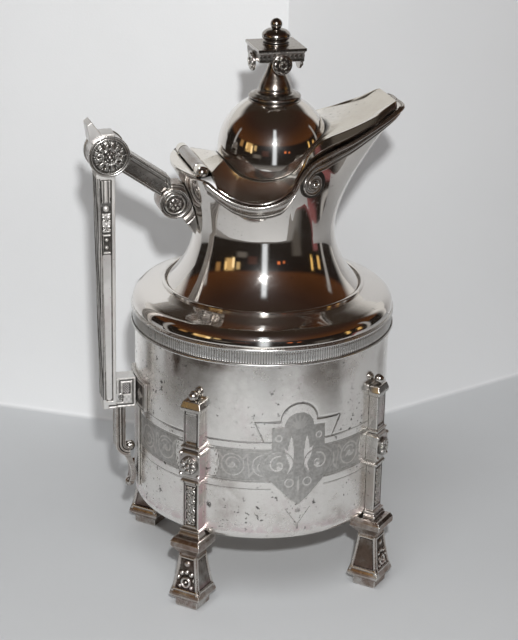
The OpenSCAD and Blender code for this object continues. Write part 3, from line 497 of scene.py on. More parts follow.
def cartouche(s, z):
    """Cut lines and matte ground of one engraved cartouche, about s = 0."""
    a = np.abs(s)
    field = [(-1, FOOT_Z), (-1, HEAD_Z), *GROUND]
    ground = inside(a, z, field) | (np.hypot(s, z - HEAD_Z) < 7.4) & (z > HEAD_Z - 1)
    hook = most(scroll(a, z, (10.2, 79.2), 4.9, 100, 1.1, 0.62, -1), bead(a, z, (10, 77.8), 1.7))
    pearls = most(hoop(a, z, (4.6, 69.4), 2.1, 0.55), hoop(a, z, (10.2, 93.4), 1.5, 0.7))
    sprig, drop = palmette(s, z, (0, HEAD_Z - 1), 8.2, 1.1, 7), leaf(s, z, (0, 64.2), 90, 8.6, 0.9)
    bright = most(inside(a, z, FLAME) * 1.0, hook, pearls * 0.9, drop, sprig * 0.75)
    shaft = (a < 2.4) & (z > 74) & (z < 97)
    matte = ground * (1 - 0.85 * bright) * np.where(shaft, 0.9, 1.0)
    arch = hoop(s, z, (0, ARCH_Z), 9.3, 0.42) * (z >= ARCH_Z)
    edge = stroke(a, z, GROUND, 0.38) * (z < HEAD_Z + 0.5)
    ring = hoop(a, z, (10.2, 78.8), 7.7, 0.5)
    small = palmette(s, z, (0, 53.2), 3.4, 0.7, 5)
    vee = stroke(a, z, VEE, 0.38)
    cut = most(arch, stroke(a, z, OUTER_LINE, 0.42), edge * 0.7, ring * 0.8, vee * 0.9, small * 0.9)
    return cut, matte, ground


def frieze(s, z):
    """The band between two legs, about s = 0: matte ground with bright scrolls and roundels."""
    a, up = np.abs(s), z - BAND_MID
    end = QUARTER / 2 - 10.2 - 2.2 * (1 - (up / BAND_HALF) ** 2)
    k = np.round(a / SCROLL_STEP)
    x, y = a - k * SCROLL_STEP, up * np.where(k % 2 > 0, 1.0, -1.0)
    between = np.abs(x)
    bright = most(hoop(x, y, (0, 0), 5.6, 0.55), scroll(x, y, (0.4, -0.4), 4.0, 200, 1.15, 0.55),
                  leaf(x, y, (-0.6, -0.6), 40, 4.2, 1.1), leaf(x, y, (-0.6, -0.6), 130, 3.6, 0.9),
                  leaf(between, y, (SCROLL_STEP / 2, -6.8), 90, 9.5, 1.0),
                  leaf(between, y, (SCROLL_STEP / 2, -6.6), 125, 6, 0.9))
    within = np.abs(up) < BAND_HALF
    rails = most(pair(up, LINE_HALF, 0.32), pair(up, BAND_HALF, 0.34), pair(up, BAND_HALF - 1.0, 0.26))
    ends = most(ridge(a - end, 0.36), ridge(a - end - 1.1, 0.26)) * within
    return most(rails * (a < QUARTER / 2 - 5), ends), (within & (a < end)) * (1 - 0.68 * bright)


def engraving(angle, z):
    """Cut lines and matte ground of the engraving at an angle round the drum, 0 at the spout."""
    s = np.radians(angle) * DRUM_R
    cut, matte = frieze(s - np.round(s / QUARTER) * QUARTER, z)
    for middle in (-QUARTER + CART_S, QUARTER - CART_S):
        local = s - middle
        near = np.abs(local) < CART_HALF
        lines, field, ground = cartouche(np.where(near, local, CART_HALF), z)
        cleared = near & (ground | (np.abs(local) < 13.4) & (np.abs(z - BAND_MID) < LINE_HALF + 0.6))
        cut = most(cut * ~cleared, lines * near)
        matte = most(matte * ~cleared, field * near)
    return cut, matte


def make_drum():
    """Sheet drum with its engraving cut in, and points close together where the front cartouche is."""
    a = np.radians(np.concatenate([np.arange(-112, -66, 0.36), np.arange(-66, 248, 0.56)]))
    z = np.concatenate([np.arange(43.5, 114, 0.5), np.linspace(114.5, SHOULDER_Z, 12)])
    e = 4.0
    turn_z = DRUM_LIFT + e
    outer = [(DRUM_R - e - 5, DRUM_LIFT), *arc(DRUM_R - e, turn_z, e, -90, -2, 9), *[(DRUM_R, h) for h in z]]
    inner = [(DRUM_R - SHEET_T, SHOULDER_Z), (DRUM_R - SHEET_T, turn_z),
             *arc(DRUM_R - e, turn_z, e - SHEET_T, -10, -90, 6), (DRUM_R - e - 5, DRUM_LIFT + SHEET_T)]
    r, height = np.array(outer + inner).T
    angle, height = np.meshgrid(np.degrees((a + np.pi) % (2 * np.pi) - np.pi), height, indexing="ij")
    skin = (np.arange(len(r)) < len(outer)) & (height > turn_z)
    cut, matte = engraving(angle, height)
    cut, matte = cut * skin, matte * skin
    dents = 0.03 * np.sin(np.radians(3 * angle)) * np.sin(height / 17) * skin
    rings = around(r - 0.13 * cut - 0.05 * matte - 0.06 + dents, a[:, None], height)
    o = ring_object("drum_shell", rings, True, cut * 0.7)
    stain = 0.0
    for at, middle, wide, tall, depth in STAINS:
        away = np.hypot(((angle - at + 180) % 360 - 180) / wide, (height - middle) / tall)
        stain = most(stain, depth * smooth(1.3, 0.4, away))
    bloom = 0.8 * smooth(DRUM_LIFT + 11, DRUM_LIFT + 2, height)
    set_values(o.data, matte=matte, stain=stain * skin, bloom=bloom * skin)
    finish_piece(o, "pot", DRUM, "drum")


def make_band():
    """Milled band: upright reeds between two plain beads."""
    reeds = 160
    sides = reeds * 8
    low = BAND_Z + np.array([0.02, 0.15, 0.45, 1.05, 1.35, 1.5])
    middle = np.linspace(BAND_Z + 1.62, SHOULDER_Z - 1.62, 9)
    heights = np.concatenate([low, middle, BAND_Z + SHOULDER_Z - low[::-1]])
    a = np.radians(np.arange(sides) * 360 / sides)[:, None]
    valley = 1 - np.abs(np.cos(reeds * a))
    ends = 0.35 * (np.arange(9) % 8 == 0)
    plain = rows([-0.5, -0.2, 0, 0, -0.2, -0.5], sides)
    groove = rows([0, 0, 0, 0, 0.4, 0.8], sides)
    r = BAND_R - 0.02 + np.concatenate([plain, -0.62 - 0.42 * valley**1.4 - ends, plain], 1)
    dark = np.concatenate([groove, 0.6 * valley**1.2 + ends, groove[:, ::-1], np.zeros((sides, 2))], 1)
    inner = around(DRUM_R + 0.06, a, np.array([SHOULDER_Z - 0.02, BAND_Z + 0.02]))
    rings = np.concatenate([around(r, a, heights), inner], 1)
    finish_piece(ring_object("milled_ring", rings, True, np.clip(dark, 0, 1)), "pot", REEDED, "milled_band",
                 slot="milled_silver")


# ---------- shoulder, neck and spout ----------
def make_shoulder():
    out, roll, seat_r = BAND_R - 0.7, 7.0, NECK_FOOT_R + 1.7
    cx, roll_z = out - roll, SHOULDER_Z + 1.3
    mid, bore = mix(cx, seat_r, 0.45), NECK_FOOT_R - 2.6
    outer = [(out, SHOULDER_Z), *arc(cx, roll_z, roll, 0, 70, 24), (mid, NECK_Z - 1.3), (seat_r, NECK_Z - 0.3),
             (seat_r - 0.5, NECK_Z)]
    inner = [(bore, NECK_Z), (bore, NECK_Z - SHEET_T), (mid - 0.3, NECK_Z - 1.3 - SHEET_T),
             *arc(cx, roll_z, roll - SHEET_T, 70, 0, 12), (out - SHEET_T, SHOULDER_Z)]
    finish_piece(turned("shoulder_shell", outer + inner, sides=288), "pot", BRIGHT, "shoulder")
    x, z = seat_r - 1.0, NECK_Z + 0.01
    profile = [(x + 0.9, z), *arc(x, NECK_Z + 0.9, 0.9, 0, 150, 12), (x - 0.2, z)]
    finish_piece(turned("neck_collar_ring", profile, sides=288), "pot", BRIGHT, "neck_collar")


ROOT_Z = mix(MOUTH_Z, TIP_Z, 0.505)


def spout_edge(along, inward, up):
    """Point of the rim between the spout's root and its tip."""
    return [mix(ROOT_X, SPOUT_REACH, along), mix(ROOT_HALF, TIP_HALF, inward), mix(ROOT_Z, TIP_Z, up)]


def mouth_edge(out, degrees, up):
    """Point of the rim between the mouth's circle and the hinge's ledge."""
    return around(mix(MOUTH_R, LEDGE_R, out), math.radians(degrees), mix(MOUTH_Z, LEDGE_Z, up))


RIM_HALF = np.array([
    [SPOUT_REACH, 0, TIP_Z],
    [SPOUT_REACH, 0.64 * TIP_HALF, TIP_Z - 0.1],
    [SPOUT_REACH - 2.8, TIP_HALF, TIP_Z - 1.2],
    spout_edge(0.68, 0.57, 0.66),
    spout_edge(0.3, 0.22, 0.25),
    [ROOT_X, ROOT_HALF, ROOT_Z],
    [17.5, ROOT_HALF + 4, ROOT_Z - 2.4],
    [10.5, mix(ROOT_HALF, MOUTH_R, 0.55), ROOT_Z - 4.6],
    [6, mix(ROOT_HALF, MOUTH_R, 0.77), ROOT_Z - 8.1],
    [2, MOUTH_R - 1.4, mix(MOUTH_Z, ROOT_Z, 0.3)],
    [-4, MOUTH_R, MOUTH_Z + 2.3],
    mouth_edge(0.2, 105, 0.03),
    mouth_edge(0.26, 115.7, 0),
    mouth_edge(0.36, 127, 0.2),
    mouth_edge(0.7, 136.4, 0.63),
    *[mouth_edge(1, degrees, 1) for degrees in (143.7, 158, 180)]])
RIM_LAST = 17
RIM_CORNER = 15
PADDED = np.concatenate([[RIM_HALF[1] * MIRROR], RIM_HALF, [RIM_HALF[16] * MIRROR]])


def rim(u):
    """Point of the rim: 0 is the middle of the spout's tip, 17 and -17 the middle of the back."""
    u = np.asarray(u, float)
    p = spline(PADDED, np.clip(np.abs(u), 0, RIM_LAST) + 1)
    return np.where((u < 0)[..., None], p * MIRROR, p)


def bearing(u):
    return spread(unit(rim(u)[..., :2]))


def wall(u, t):
    """Point of the wall that rises from the waist, where t is 0, to the rim, where t is 1."""
    u, t = np.broadcast_arrays(np.asarray(u, float), np.asarray(t, float))
    p, way = rim(u), bearing(u)
    spout = 1 - np.minimum(1, np.abs(u) / 9)
    r = mix(WAIST_R, np.linalg.norm(p[..., :2], axis=-1), mix(0.22, 0.05, spout))
    z = mix(WAIST_Z, p[..., 2], mix(0.53, 0.28, spout))
    return bow(way * WAIST_R + UP * WAIST_Z, way * r[..., None] + UP * z[..., None], p, t[..., None])


def wall_out(u, t):
    """Outward normal of the wall."""
    u, t = np.broadcast_arrays(np.asarray(u, float), np.asarray(t, float))
    p = wall(u, t)
    du = wall(np.minimum(RIM_LAST, u + 0.05), t) - wall(np.maximum(-RIM_LAST, u - 0.05), t)
    n = unit(np.cross(du, p - wall(u, t - 0.02)))
    side = n[..., 0] * p[..., 0] + n[..., 1] * p[..., 1]
    return n * np.where(side < 0, -1, 1)[..., None]


def over_wall(u, t, high):
    return wall(u, t) + wall_out(u, t) * np.asarray(high)[..., None]


def on_wall(u, down, high):
    """Point a distance down from the rim and a height above the wall."""
    middle = (wall(u, 0.5) * 4 - wall(u, 0.0) - wall(u, 1.0)) / 2
    return over_wall(u, 1 - down / (2 * np.linalg.norm(rim(u) - middle, axis=-1)), high)


def find_on_wall(q):
    """u and t of the wall's point at the same bearing and height as q."""
    def turn(p):
        return np.arctan2(p[..., 1], p[..., 0])

    u = bisect(lambda m: turn(rim(m)) < turn(q), -RIM_LAST, RIM_LAST, q.shape[:-1])
    return u, bisect(lambda m: wall(u, m)[..., 2] < q[..., 2], 0, 1.3, q.shape[:-1])


def make_neck():
    """Neck and spout as one sheet, from the foot through the waist to the rim and back down inside."""
    u = np.arange(-RIM_LAST * 10 + 1, RIM_LAST * 10 + 1)[:, None] / 10
    way, flare = bearing(u), NECK_FOOT_R - WAIST_R

    def foot(t, off):
        slope = 2.3 * flare / WAIST_RISE * (1 - t) ** 1.3
        r = WAIST_R + flare * (1 - t) ** 2.3 - off * np.sqrt(1 + slope**2)
        return way * r[None, :, None] + UP * (NECK_Z + WAIST_RISE * t)[None, :, None]

    low, inside_t = np.linspace(0, 1, 30)[:-1], np.linspace(0, 1, 20)[None]
    n = wall_out(u, inside_t)
    level = np.linalg.norm(n[..., :2], axis=-1, keepdims=True)
    inner = wall(u, inside_t) - spread(n[..., :2] / level * SHEET_T / level)
    outer = wall(u, np.linspace(0, 1, 44)[None])
    rings = np.concatenate([foot(low, 0), outer, inner[:, ::-1], foot(low[::3], SHEET_T)[:, ::-1]], 1)
    finish_piece(ring_object("neck_shell", rings, True), "pot", BRIGHT, "neck")


# sections of the mouldings: distance down from the rim, height above the wall, and how dark
RIDGE_LINE = np.array([(-0.88, 0.1, 0), (-0.9, 0.6, 0), (-0.86, 1.02, 0), (-0.62, 1.34, 0), (-0.3, 1.49, 0),
                       (0.05, 1.53, 0), (0.4, 1.48, 0), (0.65, 1.36, 0.3), (0.8, 1.1, 0.9)])
BAND_LINE = np.array([(0.92, 0.9, 1), (1.05, 0.92, 0.8), (1.2, 1.12, 0.2), (1.45, 1.28, 0), (1.9, 1.36, 0),
                      (3.0, 1.42, 0), (4.1, 1.36, 0), (4.7, 1.24, 0), (4.95, 1.08, 0.1), (5.1, 0.85, 0.8),
                      (5.3, 0.8, 1), (5.45, 0.92, 1), (5.65, 1.22, 0.7), (5.9, 1.4, 0.1), (6.15, 1.42, 0),
                      (6.4, 1.3, 0), (6.55, 1.0, 0.2), (6.7, 0.94, 1), (6.9, 1.2, 1), (7.2, 1.34, 0.2),
                      (7.5, 1.2, 0), (7.72, 0.8, 0), (7.9, 0.1, 0)])


def make_mouldings():
    """Ridge, plain band and two beads under the rim; along the spout the band narrows and fades."""
    u = np.arange(0, RIM_CORNER * 12 + 1)[:, None] / 12
    f = smooth(8.5, 10, u)
    down, high, dark = BAND_LINE.T[:, None]
    band = mix(1.3 + (down - 1.3) / 9, down, f), mix((high + 0.1) / 2, high, f), dark * f
    down, high, dark = (np.concatenate([rows(top, len(u)), low], 1) for top, low in zip(RIDGE_LINE.T, band))
    rings = on_wall(np.repeat(u, down.shape[1], 1), down, high)
    for name, flip in SIDES:
        o = ring_object(f"moulding_{name}", rings * flip, False, dark)
        finish_piece(o, "pot", MOULDED, f"rim_moulding_{name}", slot="cast_silver")


VOLUTE_R = 7.0
VOLUTE_WIDE = 1.35      # how much wider than high it lies on the wall
VOLUTE_TURN = 560.0
VOLUTE_START = 65.0
STRAP_W = 3.4

# the strap's section: across, as a share of half its width, height, and how dark
STRAP = np.array([(-1, 0.22, 0.8), (-1, 0.8, 0.2), (-0.94, 1.25, 0), (-0.78, 1.55, 0), (-0.6, 1.45, 0.2),
                  (-0.5, 1.2, 0.9), (0, 1.3, 0), (0.5, 1.2, 0.9), (0.6, 1.45, 0.2), (0.78, 1.55, 0),
                  (0.94, 1.25, 0), (1, 0.8, 0.2), (1, 0.22, 0.8)])


def make_scrolls():
    """Raised strap along each side of the spout, wound up in a volute beside the mouth."""
    mid = on_wall(np.array(6.4), VOLUTE_R + 2.2, np.array(0.0))
    normal = wall_out(*find_on_wall(mid))
    back = unit(np.cross(UP, normal))
    up = np.cross(normal, back)

    def beside(r, degrees, wide=VOLUTE_WIDE):
        a = np.radians(degrees)
        return back * (r * np.cos(a) * wide)[:, None] + up * (r * np.sin(a))[:, None]

    u = np.arange(1.4, 5.41, 0.1)
    start = on_wall(u, mix(3.8, 4.2, u / 6), np.zeros(len(u)))
    a = np.arange(VOLUTE_START, VOLUTE_START - VOLUTE_TURN - 1, -5.0)
    turn = mid + beside(mix(VOLUTE_R - STRAP_W / 2, 1.3, ((VOLUTE_START - a) / VOLUTE_TURN) ** 0.85), a)
    # a curve that runs on from the straight part into the first turn
    t = np.linspace(0, 1, 16)[1:-1, None]
    b, c = start[-1], turn[0]
    third = np.linalg.norm(c - b) / 3
    p1, p2 = b + unit(b - start[-2]) * third, c - unit(turn[1] - c) * third
    bridge = b * (1 - t) ** 3 + p1 * 3 * t * (1 - t) ** 2 + p2 * 3 * t**2 * (1 - t) + c * t**3
    place = find_on_wall(np.concatenate([start, bridge, turn]))
    path, n = wall(*place), wall_out(*place)
    across = unit(np.cross(n, unit(np.gradient(path, axis=0))))
    f = np.linspace(0, 1, len(path))
    half = STRAP_W / 2 * np.where(f < 0.25, mix(0.6, 1, f * 4), mix(1, 0.62, (f - 0.25) / 0.75))
    side, high, dark = STRAP.T
    strap = path[:, None] + across[:, None] * (side * half[:, None])[..., None] + n[:, None] * high[:, None]

    ring = np.arange(0, 360, 5)
    disc_r = VOLUTE_R - 0.3
    disc = [over_wall(*find_on_wall(mid + beside(r, ring)), high)
            for r, high in ((disc_r, 0.12), (disc_r, 0.35), (disc_r - 0.4, 0.5), (2, 0.5), (0.4, 0.5))]
    eye = [path[-1] + beside(1.75 * math.cos(lat), ring[::3], 1) + n[-1] * (0.6 + 1.35 * math.sin(lat))
           for lat in np.radians(np.linspace(-60, 85, 14))]
    for name, flip in SIDES:
        parts = [ring_object("strap", strap * flip, False, rows(dark, len(path))),
                 ring_object("disc", np.array(disc) * flip, False, 0.85),
                 ring_object("eye", np.array(eye) * flip, False)]
        o = joined(f"scroll_{name}", parts)
        finish_piece(o, "pot", MOULDED, f"spout_scroll_{name}", slot="cast_silver")


def make_spout_ornament():
    """Leafy strip down the front of the spout."""
    f = np.linspace(0, 1, 220)[:, None]
    half = 0.8 + 5.6 * np.sin(np.pi * f**0.8) * (0.65 + 0.35 * np.abs(np.cos(3 * np.pi * f)))
    across = np.linspace(-1, 1, 33)[None]
    y, length = across * half, f * 42 + across * 0
    u, t = find_on_wall(wall(0, mix(0.86, 0.3, f)) + np.array([0, 1.0, 0]) * y[..., None])
    stem = ridge(y, 0.5)
    leaves = most(*[leaf(length, np.abs(y), (2 + i * 3, 0.1), 38, 6.6, 0.9) for i in range(13)])
    narrow = np.minimum(1, half / 2.5)
    high = 0.25 + 0.8 * ridge(across**2, 1) * narrow + 0.85 * most(leaves, stem * 0.9) * narrow
    under = slice(None), slice(None, None, -8)
    low = over_wall(u[under], t[under], 0.2 + 0 * u[under])
    dark = np.concatenate([np.clip(1 - most(leaves, stem) * 1.3, 0, 1) * 0.8, np.zeros(low.shape[:2])], 1)
    rings = np.concatenate([over_wall(u, t, np.minimum(high, 2.15)), low], 1)
    o = ring_object("spout_leaves", rings, False, dark)
    finish_piece(o, "pot", CAST, "spout_ornament", slot="cast_silver")


# ---------- lid ----------
LEAF_EDGE = HINGE_BACK - 4.2
PLATE_TOP = LEDGE_Z + 2.5
LID_END = SPOUT_REACH - 3.6
COVER_X = (20.6, 48.5, LID_END)
COVER_H = (TIP_Z - 11.8, TIP_Z - 4.3, TIP_Z + 3)


def cover_z(x):
    """Height of the spout's cover: two slopes that meet in a soft bend."""
    def slope(i):
        rise = (COVER_H[i + 1] - COVER_H[i]) / (COVER_X[i + 1] - COVER_X[i])
        return COVER_H[i] + rise * (x - COVER_X[i])

    return np.logaddexp(slope(0) * 2, slope(1) * 2) / 2


def dome_row(height, bend, angle, up):
    """The plate beside one point of the rim: height of its fold, how far in the fold lies, and the angle
    and height at which the plate meets the dome."""
    return [height, bend, angle, MOUTH_Z + up]


LID_ROWS = np.array([
    dome_row(COVER_H[2], 0.01, 0, 28),
    dome_row(COVER_H[2], 0.01, 8, 27.9), dome_row(COVER_H[2], 0.01, 16, 27.7),
    dome_row(cover_z(RIM_HALF[3][0]), 0.01, 26, 27.2), dome_row(cover_z(RIM_HALF[4][0]), 0.01, 38, 26.5),
    dome_row(cover_z(RIM_HALF[5][0]), 0.02, 50, 25.6), dome_row(ROOT_Z + 4, 0.15, 62, 23),
    dome_row(ROOT_Z - 1, 0.2, 74, 18), dome_row(ROOT_Z - 5.8, 0.12, 83, 12.7),
    dome_row(RIM_HALF[9][2] + 2, 0.04, 94, 9.4), dome_row(RIM_HALF[10][2] + 1.6, 0.03, 104, 7.9),
    dome_row(RIM_HALF[11][2] + 1.6, 0.03, 118, 7), dome_row(RIM_HALF[12][2] + 1.6, 0.03, 131, 7.3),
    dome_row(RIM_HALF[13][2] + 1.6, 0.03, 143, 8.4), dome_row(RIM_HALF[14][2] + 1.6, 0.04, 153, 10.9),
    dome_row(PLATE_TOP, 0.02, 165, 13.9), dome_row(PLATE_TOP, 0.02, 180, 14.8)])


def lid_over_rim(u):
    """Lid's lower edge; the gap is measured square to the rim, so it is taller where the rim is steep."""
    p = rim(u)
    d = rim(u + 0.05) - rim(u - 0.05)
    dx, dy, dz = np.moveaxis(d / np.hypot(d[..., 0], d[..., 1])[..., None], -1, 0)
    return p + np.stack([-dy * LID_INSET, dx * LID_INSET, LID_GAP * np.sqrt(1 + dz**2)], -1)


def make_lid_plate():
    """Plate of the lid, folded up from its edge and rising to the dome; flat over the spout."""
    v = np.arange(0, 16 * 10 + 1) / 10
    every = v[:, None]
    table = np.where((every < 2) | (every > 13), straight(LID_ROWS, v), spline(LID_ROWS, v))
    fold_z, bend, dome_angle, dome_z = table.T

    def dome_ring(drop):
        z = dome_z - drop
        r = np.sqrt((DOME_R + 0.2) ** 2 - (z - DOME_Z) ** 2)
        return around(r, np.radians(dome_angle), z) + [DOME_X, 0, 0]

    tip = [[LID_END, 0, TIP_Z + 0.5], [LID_END, 0.64 * TIP_HALF, TIP_Z + 0.5],
           [LID_END - 0.2, TIP_HALF - 0.8, TIP_Z - 1], lid_over_rim(np.array(3.0))]
    rear = [lid_over_rim(np.array(14.0)), [-LEAF_EDGE, KNUCKLE_END + 1, PLATE_TOP - LID_T],
            [-LEAF_EDGE, 0, PLATE_TOP - LID_T]]
    edge = np.where(every < 14, lid_over_rim(v), straight(rear, np.clip(v - 14, 0, 2)))
    edge = np.where(every < 3, straight(tip, np.minimum(v, 3)), edge)
    inner = dome_ring(0)
    fold = mix(edge, inner, bend[:, None])
    fold[:, 2] = fold_z

    def top(f):
        p = mix(fold, inner, f)
        flat = np.minimum(1, np.clip((6.5 - v) / 2, 0, 1) * 4 * f * (1 - f) * 1.4)
        p[:, 2] = mix(p[:, 2], cover_z(p[:, 0]), flat)
        return p

    def towards(b):
        d = b - fold
        size = np.linalg.norm(d, axis=1, keepdims=True)
        return fold + d / size * np.minimum(0.55, size * 0.45)

    low, high = towards(edge), towards(top(0.08))
    inward, fall = spread(unit(inner[:, :2] - edge[:, :2])) * LID_T, UP * LID_T
    steps = np.linspace(0.08, 1, 26)
    section = [edge, mix(edge, low, 0.5), *[bow(low, fold, high, t) for t in np.linspace(0, 1, 6)],
               *[top(f) for f in steps], dome_ring(LID_T), *[top(f) - fall for f in steps[-3::-3]],
               top(0.02) + inward - fall, edge + inward]
    half = np.stack(section, 1)
    rings = np.concatenate([half[:0:-1] * MIRROR, half])
    dark = np.zeros(rings.shape[:2])
    dark[:, 31:34] = (0.25, 0.6, 0.9)
    finish_piece(ring_object("lid_plate", rings, True, dark), "lid", COVER, "lid_saddle", slot="lid_plate")


def lid_turning(name, profile, sides, node, material=FINIAL, slot="polished_silver", groove=None):
    """Turned piece on the dome's axis. groove is a dark ring's height, half width and least radius."""
    r, z = np.array(profile).T
    dark = 0.0
    if groove:
        at, wide, least = groove
        dark = (np.abs(z - at) < wide) & (r > least)
    finish_piece(turned(name, profile, DOME_X, sides, dark), "lid", material, node, slot=slot)


def make_lid_top():
    """Dome, and the turned collar, stem, bun and ball of the finial."""
    hole, top = STUD_HOLE_R, 90 - math.degrees(math.asin(STUD_HOLE_R / DOME_R))
    dome = [*arc(0, DOME_Z, DOME_R, -28, top, 84), *arc(0, DOME_Z, DOME_R - LID_T, top, -28, 40)]
    lid_turning("dome_shell", dome, 288, "lid_dome", BRIGHT)

    z = COLLAR_Z
    seat = [(r, DOME_Z + math.sqrt((DOME_R + 0.06) ** 2 - r * r)) for r in (4, 7, 10, 12.2)]
    collar = [(12.9, -0.6), (12.9, 0.5), (12.2, 1.1), (11.8, 1.4), (12.5, 1.8), (12.8, 2.4), (12.4, 3.1),
              (11, 3.6), (10.2, 4.1), (9.4, 4.3), (hole, 4.3)]
    collar = rounded([(hole, DOME_Z + DOME_R + 0.08), *seat, *[(r, z + h) for r, h in collar]], 0.5)
    lid_turning("stem_collar", collar, 160, "dome_collar", groove=(z + 1.4, 0.25, 11))

    z = STEM_Z
    taper = [(8.4, 0.6), (8.05, 1.3), (7.9, 2.6), (7.2, 4.6), (6, 7), (4.8, 9.4), (3.9, 11.8), (3.3, 14),
             (3.2, PLATE_Z - 1.2 - z)]
    curve = spline(taper, np.linspace(0, 8, 49)) + [0, z]
    ends = (4.1, PLATE_Z - 0.02), (hole, PLATE_Z - 0.02)
    lid_turning("stem", [(hole, z + 0.02), (8.2, z + 0.02), *curve, *ends], 128, "finial_stem")

    z = ABACUS_Z
    foot = [(hole, 0.02), (6.3, 0.02), (6.4, 0.2), (6.4, 0.6), (6.2, 0.8), (5.6, 1.1)]
    swell = [(1.6 + 5.3 * math.cos(a), 4.2 + 3.3 * math.sin(a)) for a in np.radians(np.linspace(-48, 74, 30))]
    bun = [(r, z + h) for r, h in (*foot, *swell, (hole, 7.48))]
    lid_turning("bun", bun, 128, "finial_bun", slot="cast_silver", groove=(z + 1.0, 0.35, 4))

    r, mid, low = 2.85, z + 9.6, z + 7.57
    ball = [(hole, low), (2.1, low), *arc(0, mid, r, -40, 88, 30), (0.02, mid + r), (0.02, low + 1.2),
            (hole, low + 1.2)]
    lid_turning("ball", ball, 96, "finial_ball", slot="cast_silver")


# ---------- cast pieces: the CAD solid, rounded off and given its relief ----------
def mesh_values(mesh, kind):
    out = np.empty(len(mesh.vertices) * 3)
    mesh.vertices.foreach_get(kind, out)
    return out.reshape(-1, 3)


def hollows(mesh):
    """How far each point lies below its surroundings, in millimetres; edges and tops are negative."""
    edges = np.empty(len(mesh.edges) * 2, np.int32)
    mesh.edges.foreach_get("vertices", edges)
    a, b = edges.reshape(-1, 2).T
    p, count = mesh_values(mesh, "co") / MM, len(mesh.vertices)

    def gathered(*values):
        return np.bincount(a, values[0], count) + np.bincount(b, values[-1], count)

    neighbours = np.maximum(gathered(None), 1)[:, None]
    q = p
    for _ in range(7):
        q = np.stack([gathered(q[b, k], q[a, k]) for k in range(3)], 1) / neighbours
    return np.sum((q - p) * mesh_values(mesh, "normal"), 1)


def cast(node, piece, voxel, body, material, relief=None, softness=3, slot="cast_silver", film=0.0):
    """The node's solid as one soft skin. relief takes points and normals in millimetres from the pot's
    axis, and gives how far each point is pushed out, how dark it is and, where it has them, its bloom
    and its brown film."""
    o = linked(piece, NODES[node].data.copy())
    skin = o.modifiers.new("skin", "REMESH")
    skin.mode, skin.voxel_size = "VOXEL", voxel * MM
    soft = o.modifiers.new("soft", "SMOOTH")
    soft.factor, soft.iterations = 0.5, softness
    applied(o)
    mesh = o.data
    dark, bloom, stain = (np.full(len(mesh.vertices), value) for value in (0.0, 0.0, film))
    if relief:
        p, n = mesh_values(mesh, "co") / MM - BASE, mesh_values(mesh, "normal")
        high, dark, *shades = relief(p, n)
        bloom, stain = shades or (bloom, stain)
        mesh.vertices.foreach_set("co", ((p + n * high[:, None] + BASE) * MM).ravel())
        mesh.update()
    hollow = hollows(mesh)
    # recess joins the relief's dark, which on the handle's arm includes painted shade, with the darkening of
    # the hollows
    recess = np.clip(most(dark, smooth(0.02, 0.17, hollow)), 0, 1)
    set_values(mesh, recess=recess, wear=smooth(0.02, 0.14, -hollow), bloom=bloom, stain=stain)
    mesh.shade_smooth()
    return finish_piece(o, body, material, node, slot=slot)


def foliage(x, y, low, high, half):
    """Upright stem with pairs of curls, leaves and buds that fills the strip |x| < half from low to high."""
    count = max(1, round((high - low) / (half * 1.7)))
    step = (high - low) / count
    across = np.abs(x)
    out = ridge(across, half * 0.13) * 0.7
    for k in range(count):
        at = low + (k + 0.45) * step
        curl = half * 0.5, at
        out = most(out, hoop(across, y, curl, half * 0.30, half * 0.14), bead(across, y, curl, half * 0.13),
                   leaf(across, y, (0.1 * half, at + step * 0.15), 48, half * 1.05, half * 0.36),
                   leaf(across, y, (0.1 * half, at - step * 0.5), 35, half * 0.9, half * 0.26) * 0.9,
                   bead(x, y, (0, at + step * 0.42), half * 0.24))
    return out * (y > low) * (y < high) * (across < half)


LEG_ANGLES = {"leg_front_left": 225, "leg_front_right": 315, "leg_back_right": 45, "leg_back_left": 135}
BLOCK_LOW, BLOCK_TOP = DRUM_LIFT + 32.5, DRUM_LIFT + 45.5
BLOCK_MID = (BLOCK_LOW + BLOCK_TOP) / 2
LEG_TOP = BAND_Z - 21
PANEL_HALF = 3.1
FOOT_LOW, FOOT_TOP = 8.2, DRUM_LIFT - 9


